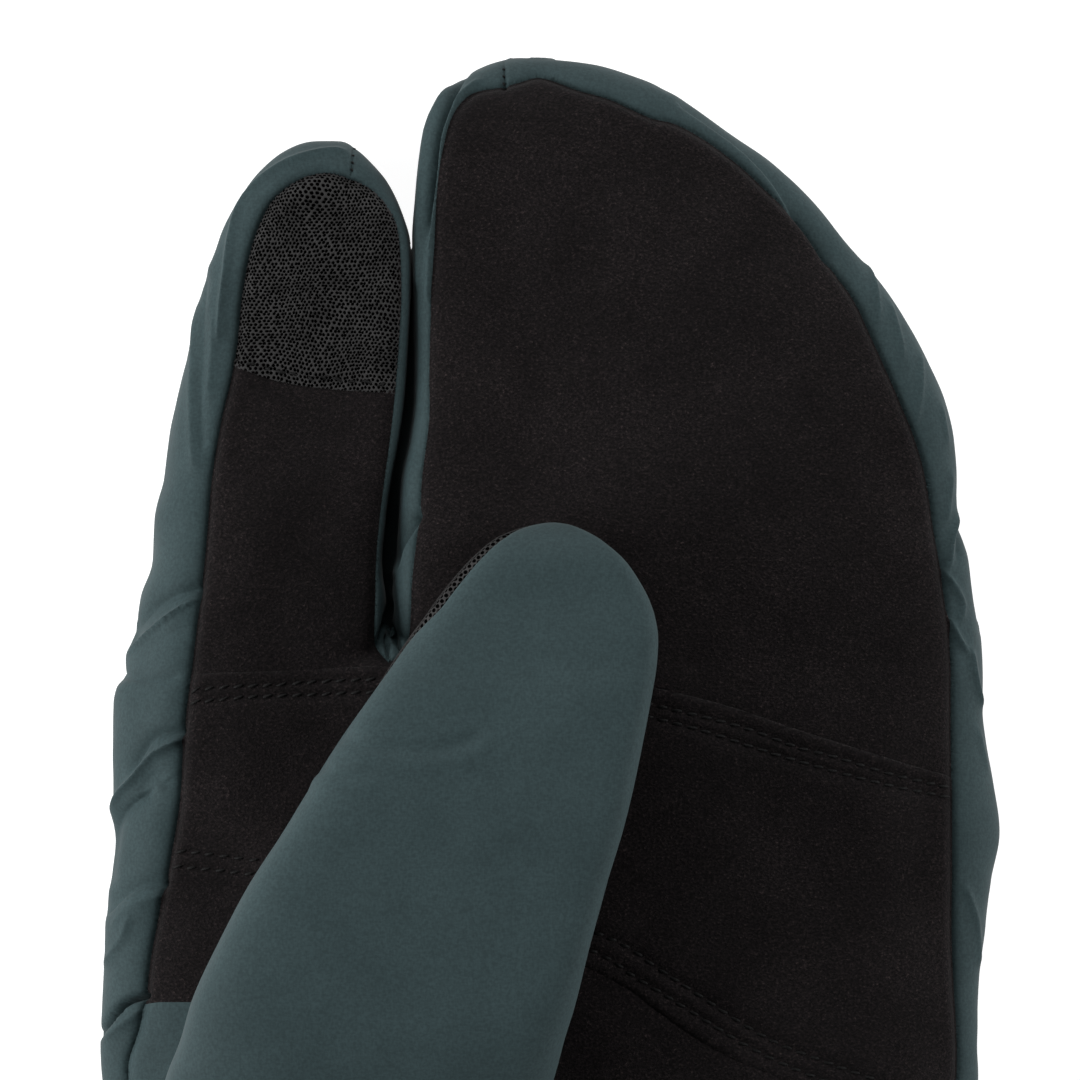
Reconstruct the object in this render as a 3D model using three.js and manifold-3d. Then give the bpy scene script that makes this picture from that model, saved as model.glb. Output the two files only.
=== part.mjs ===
// Padded three-finger winter mitten for the left hand. It lies on its back with the thumb folded over the palm.
// Millimetres. +X runs across the palm away from the thumb side, +Y from the cuff to the fingertips, +Z up from the palm.
// The tables are written with y = 0 at the cuff's open end and x = 0 near the middle of the palm.
import * as THREE from 'three';
import { LoftGeometry } from 'three/addons/geometries/LoftGeometry.js';
import { mergeVertices } from 'three/addons/utils/BufferGeometryUtils.js';
import Module from 'manifold-3d';

const wasm = await Module();
wasm.setup();

// Driving dimensions
const WRIST_Y = 75;
const HAND_END_Y = 187;
const BACK_WALL = 5;
const SIDE_WALL = 4.5;
const PALM_WALL = 2.6;
const PANEL_DEPTH = 3.2;
const TIP_WALL = 4;
const SKIN = 0.8;
const GAP = 0.3;
const GUSSET_FLOOR_Z = 9;
const PALM_FLOOR_Z = 16;
const FLAT_SINK = 2;
const THUMB_SEAM_POINT = new THREE.Vector3(-8, 165, 44.5);
const THUMB_SEAM_ROLL = THREE.MathUtils.degToRad(4);
const THUMB_SEAM_DROP = THREE.MathUtils.degToRad(-6);
const THUMB_PALM_START_Y = 130;
const THUMB_PATCH_START_Y = 172;
const HEM_HEIGHT = 10;
const HEM_GROWTH = 0.9;
const FAR = 400;

const COLUMNS = ['y', 'left', 'right', 'mid', 'thick'];

function table(columns, rows) {
  return rows.map((row) => Object.fromEntries(columns.map((name, i) => [name, row[i]])));
}

// Plan outline, middle height and thickness from the cuff's open end to the fork of the fingers
const HAND = {
  rows: table(COLUMNS, [
    [0, -65.9, 61.2, 15.5, 35],
    [30, -64.6, 59.8, 15.5, 35],
    [58, -60.6, 56, 15.2, 34.4],
    [75, -58.6, 54, 15, 34],
    [90, -62.4, 59, 16.4, 36.8],
    [104, -67, 64, 17.4, 38.8],
    [117, -68.9, 66, 18, 40],
    [130, -69.2, 66.2, 18, 40],
    [145, -68.2, 67.6, 18, 40],
    [156, -67.4, 69.1, 17.5, 39],
    [170, -67.3, 67.4, 17, 38],
    [176, -66.6, 66.8, 16.8, 37.6],
    [187, -62.6, 66, 16, 36],
  ]),
  corners: 2.5,
  roundedEnd: 8,
  sides: 30,
};

const INDEX = {
  rows: table(COLUMNS, [
    [162, -65.6, -12, 16, 33],
    [176, -65.8, -20, 15.6, 33.5],
    [186, -64.1, -24.6, 14.8, 32.5],
    [196, -61.9, -25.3, 14, 31.5],
    [206, -60.6, -25.9, 13.4, 30.8],
    [216, -58.9, -24.2, 12.9, 30],
    [226, -56.9, -22.3, 12.4, 29],
    [236, -54.4, -22, 12, 28],
    [246, -51.2, -21.8, 11.6, 27],
    [252, -48.4, -23.1, 11.4, 26.4],
    [256.5, -45.6, -25.7, 11.2, 26],
    [259.5, -42.7, -28.1, 11, 25.6],
    [261.6, -39.2, -30.8, 11, 25.4],
    [262.6, -35.5, -34.3, 11, 25.2],
  ]),
  corners: 2.3,
  roundedEnd: 12,
  sides: 22,
};

const POCKET = {
  rows: table(COLUMNS, [
    [162, -20, 64, 16, 34],
    [176, -22, 65.2, 15.8, 34],
    [186, -24, 66.2, 15.4, 33.6],
    [196, -24.4, 65, 15, 33.2],
    [206, -24.4, 62.9, 14.6, 32.6],
    [216, -22.9, 62.4, 14.1, 32],
    [226, -21.2, 59.2, 13.4, 31],
    [236, -20.9, 54.1, 12.8, 29.8],
    [246, -20.8, 46.6, 12.3, 28.6],
    [254, -20.5, 39.4, 12, 27.6],
    [261, -19.8, 31.8, 11.8, 26.4],
    [266, -18.7, 24.6, 11.8, 25.2],
    [269.5, -16.6, 19, 11.8, 24.4],
    [272, -13.2, 13.8, 11.8, 24],
    [274.2, -9.2, 7.4, 11.8, 23.6],
    [275.3, -4.9, -1.5, 11.8, 23.4],
  ]),
  corners: 2.4,
  roundedEnd: 14,
  sides: 26,
};

const THUMB = {
  rows: table(COLUMNS, [
    [82, -48, -18, 15, 13],
    [92, -57, -9, 23, 26],
    [100, -60.5, -5, 30.5, 35],
    [108, -61.4, -2.2, 38.5, 39],
    [119, -58.2, 0.7, 46, 37],
    [131, -54, 3.7, 50.3, 32],
    [146, -46.2, 8, 52.8, 27.4],
    [161, -37.3, 11.6, 52.8, 27.2],
    [176, -27.8, 15.2, 51, 26.6],
    [187, -19.9, 16.1, 47.6, 26.2],
    [194, -14.6, 14.3, 46, 26],
    [198.5, -10.8, 10.9, 45.4, 25.8],
    [201.3, -7, 6.6, 45.1, 25.6],
    [202.8, -1.8, 1.2, 45, 25.6],
  ]),
  corners: 2.2,
  roundedEnd: 12,
  sides: 22,
};

// Creases pressed into the padded sides. y is where a crease meets the outline, and slant is how far it
// climbs towards the fingertips for each millimetre that it runs in from the outline.
const CREASES = table(['side', 'y', 'depth', 'width', 'slant', 'reach'], [
  [-1, 187.3, 1, 2.6, 0.85, 12],
  [-1, 178.9, 1.6, 3, 0.8, 12],
  [-1, 158, 0.9, 2.6, 0.85, 12],
  [-1, 152.5, 1.1, 2.6, 0.8, 12],
  [-1, 141, 0.7, 3, 0.7, 12],
  [-1, 127, 1.7, 3.2, 0.9, 14],
  [1, 205, 0.8, 5, 0.5, 10],
  [1, 165, 0.5, 3, -0.6, 8],
  [-1, 96, 1.2, 5, 0.3, 16],
  [1, 94, 1.2, 5, 0.3, 16],
]);

// Seam between the palm and the teal border: the border's width beside each side of the hand
const BORDERS = table(['y', 'left', 'right'], [
  [60, 4.6, 3.6],
  [92, 4.6, 3.6],
  [117, 4.4, 3.4],
  [124, 5, 3.8],
  [130, 6.8, 4],
  [136, 7.6, 4.6],
  [148, 8.9, 6.4],
  [156, 9.6, 7.2],
  [170, 10.8, 5.6],
  [182, 10.2, 4.9],
  [187, 9.6, 4.6],
]);

const INDEX_SEAM = table(['x', 'y'], [
  [-56.6, 170],
  [-54.4, 185],
  [-53.1, 199],
  [-50.9, 219],
  [-48, 235],
  [-45.4, 248],
  [-41, 255.2],
  [-33.9, 257.7],
  [-27.9, 255.1],
  [-24.9, 248.5],
  [-24.7, 232],
  [-26.8, 216],
  [-28.4, 204],
  [-28, 193],
  [-25.9, 182],
  [-25.9, 170],
]);

const POCKET_SEAM = table(['x', 'y'], [
  [-22.7, 170],
  [-22.7, 182],
  [-21.2, 194],
  [-20.6, 206],
  [-18.6, 220],
  [-18.1, 240],
  [-17, 259],
  [-13.4, 268.4],
  [-7.6, 270.8],
  [1, 271.4],
  [9.6, 268.4],
  [15.6, 266.4],
  [20.4, 264.8],
  [29, 258.7],
  [41.1, 246.5],
  [49.4, 232.5],
  [56.6, 215],
  [59.4, 202],
  [61.4, 187],
  [61.8, 170],
]);

const PATCH_TOP = table(['x', 'y'], [
  [-70, 177.6],
  [-40, 179.8],
  [-24, 180.6],
  [-4, 179.9],
  [16.8, 176.5],
  [47, 167.7],
  [70, 161.6],
]);

const PATCH_BOTTOM = table(['x', 'y'], [
  [70, 107],
  [46, 113.6],
  [26, 122.4],
  [10, 133.7],
  [-8, 142],
  [-34, 147.2],
  [-70, 148.3],
]);

const INDEX_PATCH_BOTTOM = table(['x', 'y'], [
  [-56, 228.6],
  [-48.6, 226.6],
  [-42, 224.6],
  [-34, 223.2],
  [-20, 222.6],
]);

// Edge of the teal piece at the thumb's root, from the left border round under the thumb to the wrist
const ROOT_EDGE = table(['x', 'y'], [
  [-80, 129.6],
  [-46, 129.6],
  [-24, 121],
  [-8, 106],
  [-5, 90],
  [-6, 60],
]);

// Strip of plan that the gusset between the fingers takes
const SLIT_STRIP = table(['x', 'y'], [
  [-31.2, 290],
  [-31.2, 190],
  [-29.5, 176],
  [-18.5, 176],
  [-16.2, 190],
  [-14.2, 262],
  [-7.4, 268],
  [-7.4, 290],
]);

const COLOURS = {
  teal: { color: 0x39494b, roughness: 0.62 },
  suede: { color: 0x141211, roughness: 0.95 },
  pebble: { color: 0x232324, roughness: 0.6 },
};

// Monotone cubic interpolation of every column of a table by its y
function along(rows, y) {
  const last = rows.length - 1;
  let k = 0;
  while (k < last - 1 && y > rows[k + 1].y) k += 1;
  const u = THREE.MathUtils.clamp((y - rows[k].y) / (rows[k + 1].y - rows[k].y), 0, 1);
  const result = {};
  for (const name of Object.keys(rows[0])) {
    const slope = (i) => {
      if (i <= 0 || i >= last) return (rows[k + 1][name] - rows[k][name]) / (rows[k + 1].y - rows[k].y);
      const before = (rows[i][name] - rows[i - 1][name]) / (rows[i].y - rows[i - 1].y);
      const after = (rows[i + 1][name] - rows[i][name]) / (rows[i + 1].y - rows[i].y);
      return before * after <= 0 ? 0 : (2 * before * after) / (before + after);
    };
    const span = rows[k + 1].y - rows[k].y;
    const rise = rows[k + 1][name] - rows[k][name];
    const start = slope(k) * span;
    const finish = slope(k + 1) * span;
    const bend = start + finish - 2 * rise;
    result[name] = rows[k][name] + u * (start + u * (3 * rise - 2 * start - finish + u * bend));
  }
  return result;
}

// How much of its full thickness a form keeps near its rounded end
function closing(form, y) {
  const end = form.rows.at(-1).y;
  const into = Math.max(0, (y - (end - form.roundedEnd)) / form.roundedEnd);
  return Math.sqrt(Math.max(0.02, 1 - into * into));
}

function creaseDepth(x, y, across) {
  let depth = 0;
  for (const crease of CREASES) {
    const edge = crease.side < 0 ? across.left : across.right;
    const inward = Math.abs(x - edge);
    const offLine = (y - crease.y - crease.slant * inward) / crease.width;
    depth += crease.depth * Math.exp(-offLine * offLine) * Math.exp(-((inward / crease.reach) ** 4));
  }
  return depth;
}

// One superellipse section of a form, moved outwards by grow on all sides
function ring(form, y, { left = 0, right = 0, floor = 0, top = 0, creased = true, sides = form.sides }) {
  const at = along(form.rows, y);
  const keep = closing(form, y);
  const halfWidth = (at.right + right - (at.left - left)) / 2;
  const centre = (at.right + right + at.left - left) / 2;
  const high = at.mid + (at.thick / 2) * keep + top;
  const low = at.mid - (at.thick / 2) * keep - floor;
  const power = 2 / form.corners;
  const points = [];
  for (let i = 0; i < sides; i += 1) {
    const angle = ((i + 0.5) / sides) * 2 * Math.PI;
    const c = Math.sign(Math.cos(angle)) * Math.abs(Math.cos(angle)) ** power;
    const s = Math.sign(Math.sin(angle)) * Math.abs(Math.sin(angle)) ** power;
    const dent = creased ? creaseDepth(centre + halfWidth * c, y, at) : 0;
    const x = centre + (halfWidth - dent) * c;
    const z = (high + low) / 2 + Math.max(0.3, (high - low) / 2 - dent) * s;
    points.push(new THREE.Vector3(x, y, z));
  }
  return points.reverse();
}

function solidOf(geometry) {
  const bare = new THREE.BufferGeometry().copy(geometry);
  bare.deleteAttribute('normal');
  bare.deleteAttribute('uv');
  const merged = mergeVertices(bare, 1e-5);
  const mesh = new wasm.Mesh({
    numProp: 3,
    vertProperties: new Float32Array(merged.attributes.position.array),
    triVerts: new Uint32Array(merged.index.array),
  });
  return new wasm.Manifold(mesh);
}

function loft(form, stations, options = {}) {
  const sections = stations.map((y) => ring(form, y, options));
  return solidOf(new LoftGeometry(sections, { closed: true, capStart: true, capEnd: true }));
}

function evenSteps(from, to, step) {
  const count = Math.round((to - from) / step);
  return Array.from({ length: count }, (_, i) => from + ((to - from) * i) / count);
}

// Even steps up to the rounded end, then steps that tighten towards the tip
function stationsOf(form, step, tipSteps, from = form.rows[0].y, to = form.rows.at(-1).y) {
  const bend = to - form.roundedEnd;
  const even = evenSteps(from, bend, step);
  const tight = Array.from({ length: tipSteps + 1 }, (_, i) => {
    return bend + form.roundedEnd * Math.sin((i / tipSteps) * Math.PI * 0.5);
  });
  return even.concat(tight);
}

function blockBetween(low, high) {
  const size = new THREE.Vector3().subVectors(high, low);
  const middle = new THREE.Vector3().addVectors(high, low).multiplyScalar(0.5);
  return solidOf(new THREE.BoxGeometry(size.x, size.y, size.z).translate(middle.x, middle.y, middle.z));
}

function slabAlongY(y0, y1) {
  return blockBetween(new THREE.Vector3(-FAR, y0, -FAR), new THREE.Vector3(FAR, y1, FAR));
}

function slabAlongZ(z0, z1) {
  return blockBetween(new THREE.Vector3(-FAR, -FAR, z0), new THREE.Vector3(FAR, FAR, z1));
}

// A closed outline moved outwards by grow, each corner along the bisector of its two sides
function grownOutline(points, grow) {
  const turn = THREE.ShapeUtils.area(points) > 0 ? 1 : -1;
  return points.map((point, i) => {
    const before = points[(i + points.length - 1) % points.length];
    const after = points[(i + 1) % points.length];
    const first = new THREE.Vector2(point.y - before.y, before.x - point.x).normalize();
    const second = new THREE.Vector2(after.y - point.y, point.x - after.x).normalize();
    const bisector = new THREE.Vector2().addVectors(first, second).normalize();
    const reach = grow / Math.max(0.5, bisector.dot(second));
    return point.clone().addScaledVector(bisector, turn * reach);
  });
}

function prism(outline, grow = 0, z0 = -FAR, z1 = FAR) {
  const shape = new THREE.Shape(grownOutline(outline, grow));
  const geometry = new THREE.ExtrudeGeometry(shape, { depth: z1 - z0, bevelEnabled: false });
  return solidOf(geometry.translate(0, 0, z0));
}

function pointsOf(rows) {
  return rows.map((row) => new THREE.Vector2(row.x, row.y));
}

function smoothLine(rows, count) {
  return new THREE.SplineCurve(pointsOf(rows)).getPoints(count);
}

// The forms of the mitten, grown outwards by grow or hollowed by its walls
const STEPS = {
  hand: [...evenSteps(0, 108, 18), ...stationsOf(HAND, 5, 2, 108)],
  index: stationsOf(INDEX, 8, 5),
  pocket: stationsOf(POCKET, 9, 6),
  thumb: stationsOf(THUMB, 10, 5),
};

function handForm(grow) {
  const all = { left: grow, right: grow, floor: grow, top: grow };
  const parts = [loft(HAND, STEPS.hand, all), loft(INDEX, STEPS.index, all), loft(POCKET, STEPS.pocket, all)];
  return parts[0].add(parts[1]).add(parts[2]).subtract(slabAlongZ(-FAR, 0));
}

function cavity(form, from, to, step, walls) {
  const inset = { left: -walls.left, right: -walls.right, floor: -walls.floor, top: -walls.top };
  const stations = stationsOf(form, step, 3, from, to);
  return loft(form, stations, { ...inset, creased: false, sides: 14 });
}

function handCavity() {
  const floor = BACK_WALL - FLAT_SINK;
  const walls = { left: SIDE_WALL, right: SIDE_WALL, floor: floor + FLAT_SINK, top: PALM_WALL };
  const hand = cavity(HAND, -1, HAND_END_Y - 11, 20, walls);
  const index = cavity(INDEX, 164, INDEX.rows.at(-1).y - TIP_WALL - 1.5, 18, { ...walls, right: 3 });
  const pocket = cavity(POCKET, 164, POCKET.rows.at(-1).y - TIP_WALL - 1.5, 18, { ...walls, left: 3 });
  return hand.add(index).add(pocket).subtract(slabAlongZ(-FAR, BACK_WALL));
}

function thumbForm(grow) {
  return loft(THUMB, STEPS.thumb, { left: grow, right: grow, floor: grow, top: grow, creased: false });
}

function thumbCavity() {
  const walls = { left: 4, right: 4, floor: 3, top: 4 };
  return cavity(THUMB, THUMB.rows[0].y + 3, THUMB.rows.at(-1).y - TIP_WALL - 1.5, 16, walls);
}

// Outline of the palm's hand part, from its border widths
function handPanelOutline() {
  const heights = [60, 80, 92, 104, 117, 124, 130, 136, 148, 158, 170, 179];
  const leftSide = heights.map((y) => new THREE.Vector2(along(HAND.rows, y).left + along(BORDERS, y).left, y));
  const rightSide = heights.map((y) => new THREE.Vector2(along(HAND.rows, y).right - along(BORDERS, y).right, y));
  return leftSide.reverse().concat(rightSide);
}

function palmPrism(grow) {
  const hand = prism(handPanelOutline(), grow);
  const index = prism(smoothLine(INDEX_SEAM, 26), grow);
  const pocket = prism(smoothLine(POCKET_SEAM, 30), grow);
  return hand.add(index).add(pocket);
}

function patchPrism(grow) {
  return prism(smoothLine(PATCH_TOP, 14).concat(smoothLine(PATCH_BOTTOM, 14)), grow);
}

function indexPatchPrism(grow) {
  const top = [new THREE.Vector2(-10, 290), new THREE.Vector2(-80, 290)];
  return prism(top.concat(smoothLine(INDEX_PATCH_BOTTOM, 10)), grow);
}

function rootPrism(grow) {
  const wrist = [new THREE.Vector2(-80, 60)];
  return prism(smoothLine(ROOT_EDGE, 18).concat(wrist), grow);
}

function slitPrism(grow) {
  return prism(pointsOf(SLIT_STRIP), grow, GUSSET_FLOOR_Z - grow, FAR);
}

// Everything below the thumb's long seam, a plane that climbs towards the index side and sinks towards the tip
function underThumbSeam(rise) {
  const box = new THREE.BoxGeometry(FAR, FAR, FAR);
  box.translate(0, 0, -FAR / 2);
  box.rotateY(THUMB_SEAM_ROLL);
  box.rotateX(THUMB_SEAM_DROP);
  box.translate(THUMB_SEAM_POINT.x, THUMB_SEAM_POINT.y, THUMB_SEAM_POINT.z + rise);
  return solidOf(box);
}

const outer = handForm(0);
const hollow = handCavity();
const thumbHollow = thumbCavity();
const wall = outer.subtract(hollow);
const half = GAP / 2;

// The layer of the wall that the palm's pieces take, cut straight down from its surface
function panelLayer() {
  const under = outer.translate([0, 0, -PANEL_DEPTH]);
  return outer.subtract(under).intersect(palmPrism(-half));
}

// What is left of the wall round and below the palm
function wallRoundPalm() {
  return wall.subtract(palmPrism(half).intersect(slabAlongZ(PALM_FLOOR_Z, FAR)));
}

function cuff() {
  const hem = loft(HAND, [0, HEM_HEIGHT * 0.5, HEM_HEIGHT], {
    left: HEM_GROWTH,
    right: HEM_GROWTH,
    floor: HEM_GROWTH,
    top: HEM_GROWTH,
  });
  const tube = outer.intersect(slabAlongY(-1, WRIST_Y - half));
  return tube.add(hem).subtract(hollow).subtract(slabAlongZ(-FAR, 0));
}

function aboveWrist(solid) {
  return solid.intersect(slabAlongY(WRIST_Y + half, FAR));
}

function palmPanel() {
  return aboveWrist(panelLayer()).subtract(hollow).subtract(rootPrism(half)).subtract(thumbHollow);
}

function thumbGusset() {
  return aboveWrist(panelLayer()).subtract(hollow).intersect(rootPrism(-half)).subtract(thumbHollow);
}

function fingerGusset() {
  return wallRoundPalm().intersect(slitPrism(-half));
}

function backShell() {
  return aboveWrist(wallRoundPalm()).subtract(slitPrism(half)).subtract(thumbHollow);
}

function skinOver(form, inner) {
  return form.subtract(inner);
}

function palmPatch() {
  const skin = skinOver(handForm(GAP + SKIN), handForm(GAP));
  return skin.intersect(patchPrism(0)).intersect(palmPrism(-GAP)).intersect(slabAlongZ(18, FAR));
}

function indexTipPatch() {
  const skin = skinOver(handForm(GAP + SKIN), handForm(GAP));
  const pad = prism(smoothLine(INDEX_SEAM, 26), -GAP);
  return skin.intersect(indexPatchPrism(0)).intersect(pad).intersect(slabAlongZ(13, FAR));
}

function thumbWall() {
  const patchRoom = handForm(GAP * 2 + SKIN).intersect(patchPrism(GAP));
  return thumbForm(0).subtract(thumbHollow).subtract(handForm(GAP)).subtract(patchRoom);
}

function thumbPalm() {
  return thumbWall().intersect(underThumbSeam(-half)).intersect(slabAlongY(THUMB_PALM_START_Y + half, FAR));
}

function thumbBack() {
  const under = underThumbSeam(half).intersect(slabAlongY(THUMB_PALM_START_Y - half, FAR));
  return thumbWall().subtract(under);
}

function thumbTipPatch() {
  const skin = skinOver(thumbForm(GAP + SKIN), thumbForm(GAP));
  const tip = skin.intersect(slabAlongY(THUMB_PATCH_START_Y, FAR)).intersect(underThumbSeam(-half));
  return tip.subtract(handForm(GAP * 2 + SKIN));
}

function meshOf(name, solid, look) {
  const { vertProperties, triVerts, numProp } = solid.getMesh();
  const geometry = new THREE.BufferGeometry();
  const positions = [];
  for (let i = 0; i < vertProperties.length; i += numProp) {
    positions.push(vertProperties[i], vertProperties[i + 1], vertProperties[i + 2]);
  }
  geometry.setAttribute('position', new THREE.Float32BufferAttribute(positions, 3));
  geometry.setIndex(Array.from(triVerts));
  const mesh = new THREE.Mesh(geometry, new THREE.MeshStandardMaterial({ ...look, metalness: 0 }));
  mesh.name = name;
  return mesh;
}

const group = new THREE.Group();
group.add(meshOf('back_shell', backShell(), COLOURS.teal));
group.add(meshOf('finger_gusset', fingerGusset(), COLOURS.teal));
group.add(meshOf('palm_panel', palmPanel(), COLOURS.suede));
group.add(meshOf('palm_patch', palmPatch(), COLOURS.suede));
group.add(meshOf('index_tip_patch', indexTipPatch(), COLOURS.pebble));
group.add(meshOf('thumb_gusset', thumbGusset(), COLOURS.teal));
group.add(meshOf('thumb_back', thumbBack(), COLOURS.teal));
group.add(meshOf('thumb_palm', thumbPalm(), COLOURS.suede));
group.add(meshOf('thumb_tip_patch', thumbTipPatch(), COLOURS.pebble));
group.add(meshOf('cuff', cuff(), COLOURS.teal));

// The part's origin is under the middle of its box, on the surface that it lies on
const box = new THREE.Box3().setFromObject(group);
const middle = box.getCenter(new THREE.Vector3());
group.position.set(-middle.x, -middle.y, -box.min.z);

export default group;
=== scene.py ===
"""The look of a padded winter mitten for the left hand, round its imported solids.

The tables are in millimetres. y runs from the cuff's open end to the fingertips, x across the palm away from
the thumb side, and z up from the surface that the mitten lies on. Meshes are made in metres, in the frame.
"""

import math

import bpy
import numpy as np
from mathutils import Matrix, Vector
from mathutils.bvhtree import BVHTree
from mathutils.kdtree import KDTree


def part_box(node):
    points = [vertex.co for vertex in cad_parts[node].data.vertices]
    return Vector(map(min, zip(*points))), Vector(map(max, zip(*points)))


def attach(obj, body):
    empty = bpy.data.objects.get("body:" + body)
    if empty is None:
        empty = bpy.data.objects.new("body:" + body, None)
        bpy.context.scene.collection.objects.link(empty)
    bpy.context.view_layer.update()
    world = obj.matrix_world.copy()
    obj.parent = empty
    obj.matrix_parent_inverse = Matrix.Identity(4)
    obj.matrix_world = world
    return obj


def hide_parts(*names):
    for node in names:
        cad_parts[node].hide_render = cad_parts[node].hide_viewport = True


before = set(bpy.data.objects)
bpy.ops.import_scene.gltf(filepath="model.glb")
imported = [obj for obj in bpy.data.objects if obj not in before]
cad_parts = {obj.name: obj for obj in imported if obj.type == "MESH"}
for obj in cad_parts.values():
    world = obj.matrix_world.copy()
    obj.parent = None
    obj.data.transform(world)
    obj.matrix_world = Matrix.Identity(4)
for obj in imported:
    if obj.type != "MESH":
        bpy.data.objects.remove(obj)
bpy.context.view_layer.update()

MM = 0.001
MOUTH_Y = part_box("cuff")[0].y

# How the surfaces are found and cut: grids, boxes, limits of a step and what counts as on a line
GRID_STEP = 1.1
THUMB_STEP = 0.8
HAND_BOX = ((-76, -2.2, -1.6), (73, 278, 42))
THUMB_BOX = ((-66, 78, 5), (21, 206, 70))
FIELD_LIMIT = 8
LONGEST_MOVE = 0.6
NORMAL_REACH = 0.12
SNAP_REACH = 0.12
THUMB_SNAP_REACH = 0.15
ON_LINE = 0.02
SHARP_ANGLE = math.radians(70)

# The forms of the hand and their joins
WRIST_Y = 75
TIP_CUT = 0.15
FORK_BLEND = 1.6
FLOOR_ROUNDING = 1.5
PALM_RIM_HEIGHT = 3

# The slit between index and pocket. Its low part closes, and leans under the index.
SLIT_MIDDLE_X = -24
SLIT_HALF = 0.08
SLIT_REACH = 9
SLIT_ROUNDING = 0.4
SLIT_OPENED = 5
SLIT_CLOSING = 2.2
SLIT_LEAN = 3
LEAN_TOP_Z = 20
LEAN_DROP = 7.5
LEAN_HEIGHT = 9.5
BARE_SLIT_WIDTH = 6

# Thickness of the padding
PALM_WALL = 2.6
SIDE_WALL = 4.5
BACK_WALL = 5
THUMB_WALL = 3

# How far the hand's cloth sinks or stands out, and how wide
SEAM_DEPTH = 1.0
SEAM_INNER_WIDTH = 1
SEAM_OUTER_WIDTH = 0.4
BORDER_PUFF = 0.8
PUFF_START = 2.2
PUFF_WIDTH = 9
SIDE_SWELL = 0.2
FOLD_POWER = 1.5
JOINT_DEPTH = 0.5
JOINT_WIDTH = 0.4

# The cuff's gathers, hem and seam
GATHER_REACH = 13
HEM_RISE = 0.9
HEM_GROOVE_DEPTH = 0.35
HEM_GROOVE_WIDTH = 0.7
HEM_GROOVE_Y = 8.4
WRIST_SEAM_DEPTH = 0.9
WRIST_SEAM_WIDTH = 1.3

# Patches, which are thin at a free edge and pulled down at a seam
PATCH_THICKNESS = 0.38
PATCH_ROUNDING = 1.0
PATCH_EDGE_SHARE = 0.1
PATCH_SEWN_SHARE = 0.25
PATCH_BED = 0.3
PATCH_UNDERSIDE = 0.2
PATCH_CLEARANCE = 0.5
SEAM_RISE_START = 0.2
SEAM_RISE = 2.5
THUMB_SEAM_RISE = 9
THUMB_PATCH_Y = 172

# Pits of the leather pads. A wall goes between two shares of the radius, and the edges are the longest ones
# of the mesh after each pass.
PIT_GAP = 0.64
PIT_RADIUS = 0.2
PIT_DEPTH = 0.3
PIT_EDGES = (0.6, 0.35, 0.19)
PIT_WALL = (1.35, 0.65)
PIT_SCATTER = 0.13
SCATTER_SEED = (12.9898, 78.233, 4375.85)
THUMB_PIT_GAP = 0.76
THUMB_PIT_RADIUS = 0.29
THUMB_PIT_DEPTH = 0.07
THUMB_PIT_EDGES = (0.6, 0.35, 0.24)
THUMB_PIT_SQUEEZE = (1, 1, 0.55)

# Rows of stitches, how they pull the cloth in, and the threads in them
QUILTING_DEPTH = 0.45
QUILTING_WIDTH = 0.8
INDEX_QUILTING_WIDTH = 0.9
INDEX_ROW_INSET = 1.5
STITCH_PITCH = 2.25
STITCH_LENGTH = 2.05
STITCH_RADIUS = 0.25
STITCH_TILT = math.radians(12)
THREAD_SIDES = 7
THREAD_RINGS = 5
THREAD_TIP = 0.06
THREAD_DIP = 1.2
THREAD_LIFT = 0.08
LOOK_AHEAD = 0.5
LOOK_DOWN_FROM = 100

# The thumb, its seam and its root in the palm
THUMB_OPENING = 4
THUMB_SUNK = 1.2
THUMB_SEAM_START_Y = 130
THUMB_SEAM_DEPTH = 0.6
THUMB_SEAM_WIDTH = 1.1
THUMB_ROOT_DEPTH = 1.6
THUMB_ROOT_WIDTH = 2.2
TIP_SEAM_SHARE = 0.74

# Bands in which something rises smoothly from 0 to 1, along y, x or z, over the middle height of the
# padding, or inwards from an edge
SLIT_START_Y = (176, 188)
SLIT_END_Y = (247, 241.5)
SLIT_OPENED_Y = (171, 181)
SLIT_CLOSING_Z = (15, 8)
LEAN_DROP_Y = (230, 242)
PAST_FORK_Y = (176, 190)
SLIT_RIGHT_X = (-10, -15)
SLIT_LEFT_X = (-32, -27)
SEAM_START_Y = (WRIST_Y - 2, WRIST_Y + 4)
HAND_START_Y = (WRIST_Y - 4, WRIST_Y + 14)
CALM_SIDES_Y = (108, 116)
LIFTED_Z = (0.4, 5)
CUFF_LIFTED_Z = (0.2, 4)
CUFF_WRINKLED_Y = (4, 16)
HEM_Y = (10.5, 9.5)
HEM_Z = (0, 3)
FOLD_Z = (4, 14)
FOLD_ABOVE = (-1, 6)
FOLD_INSIDE = (1.2, -0.3)
UPPER_ABOVE = (-2, 5)
TOP_ABOVE = (1, 8)
SUEDE_INSIDE = (0, 6)
PATCH_BED_INSIDE = (0.3, 1.3)
QUILTED_INSIDE = (0.8, 3.4)
THUMB_SEAM_Y = (128, 134)
TIP_SEAM_Y = (176, 192)
TIP_SEAM_X = (0, -7)
CREASED_Z = (50, 56)
PATCH_SHOWN_BELOW = (13, 11)
PATCH_SHOWN_Y = (174, 177)

# How far the fingers' forms are held back in the hand, over two bands of y
FINGERS_HELD = ((4, 168, 140), (30, 148, 120))

# Shares of a sunk fold and of a raised one that show low on the side and at the top
LOW_FOLD_SHARES = (0.2, 0.06)
TOP_FOLD_SHARES = (0.8, 1.35)

# How much weaker the seam is beside the slit, and the waves of the sides above the thumb's root
SEAM_EASED = 0.6
SIDES_EASED = 0.5

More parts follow.
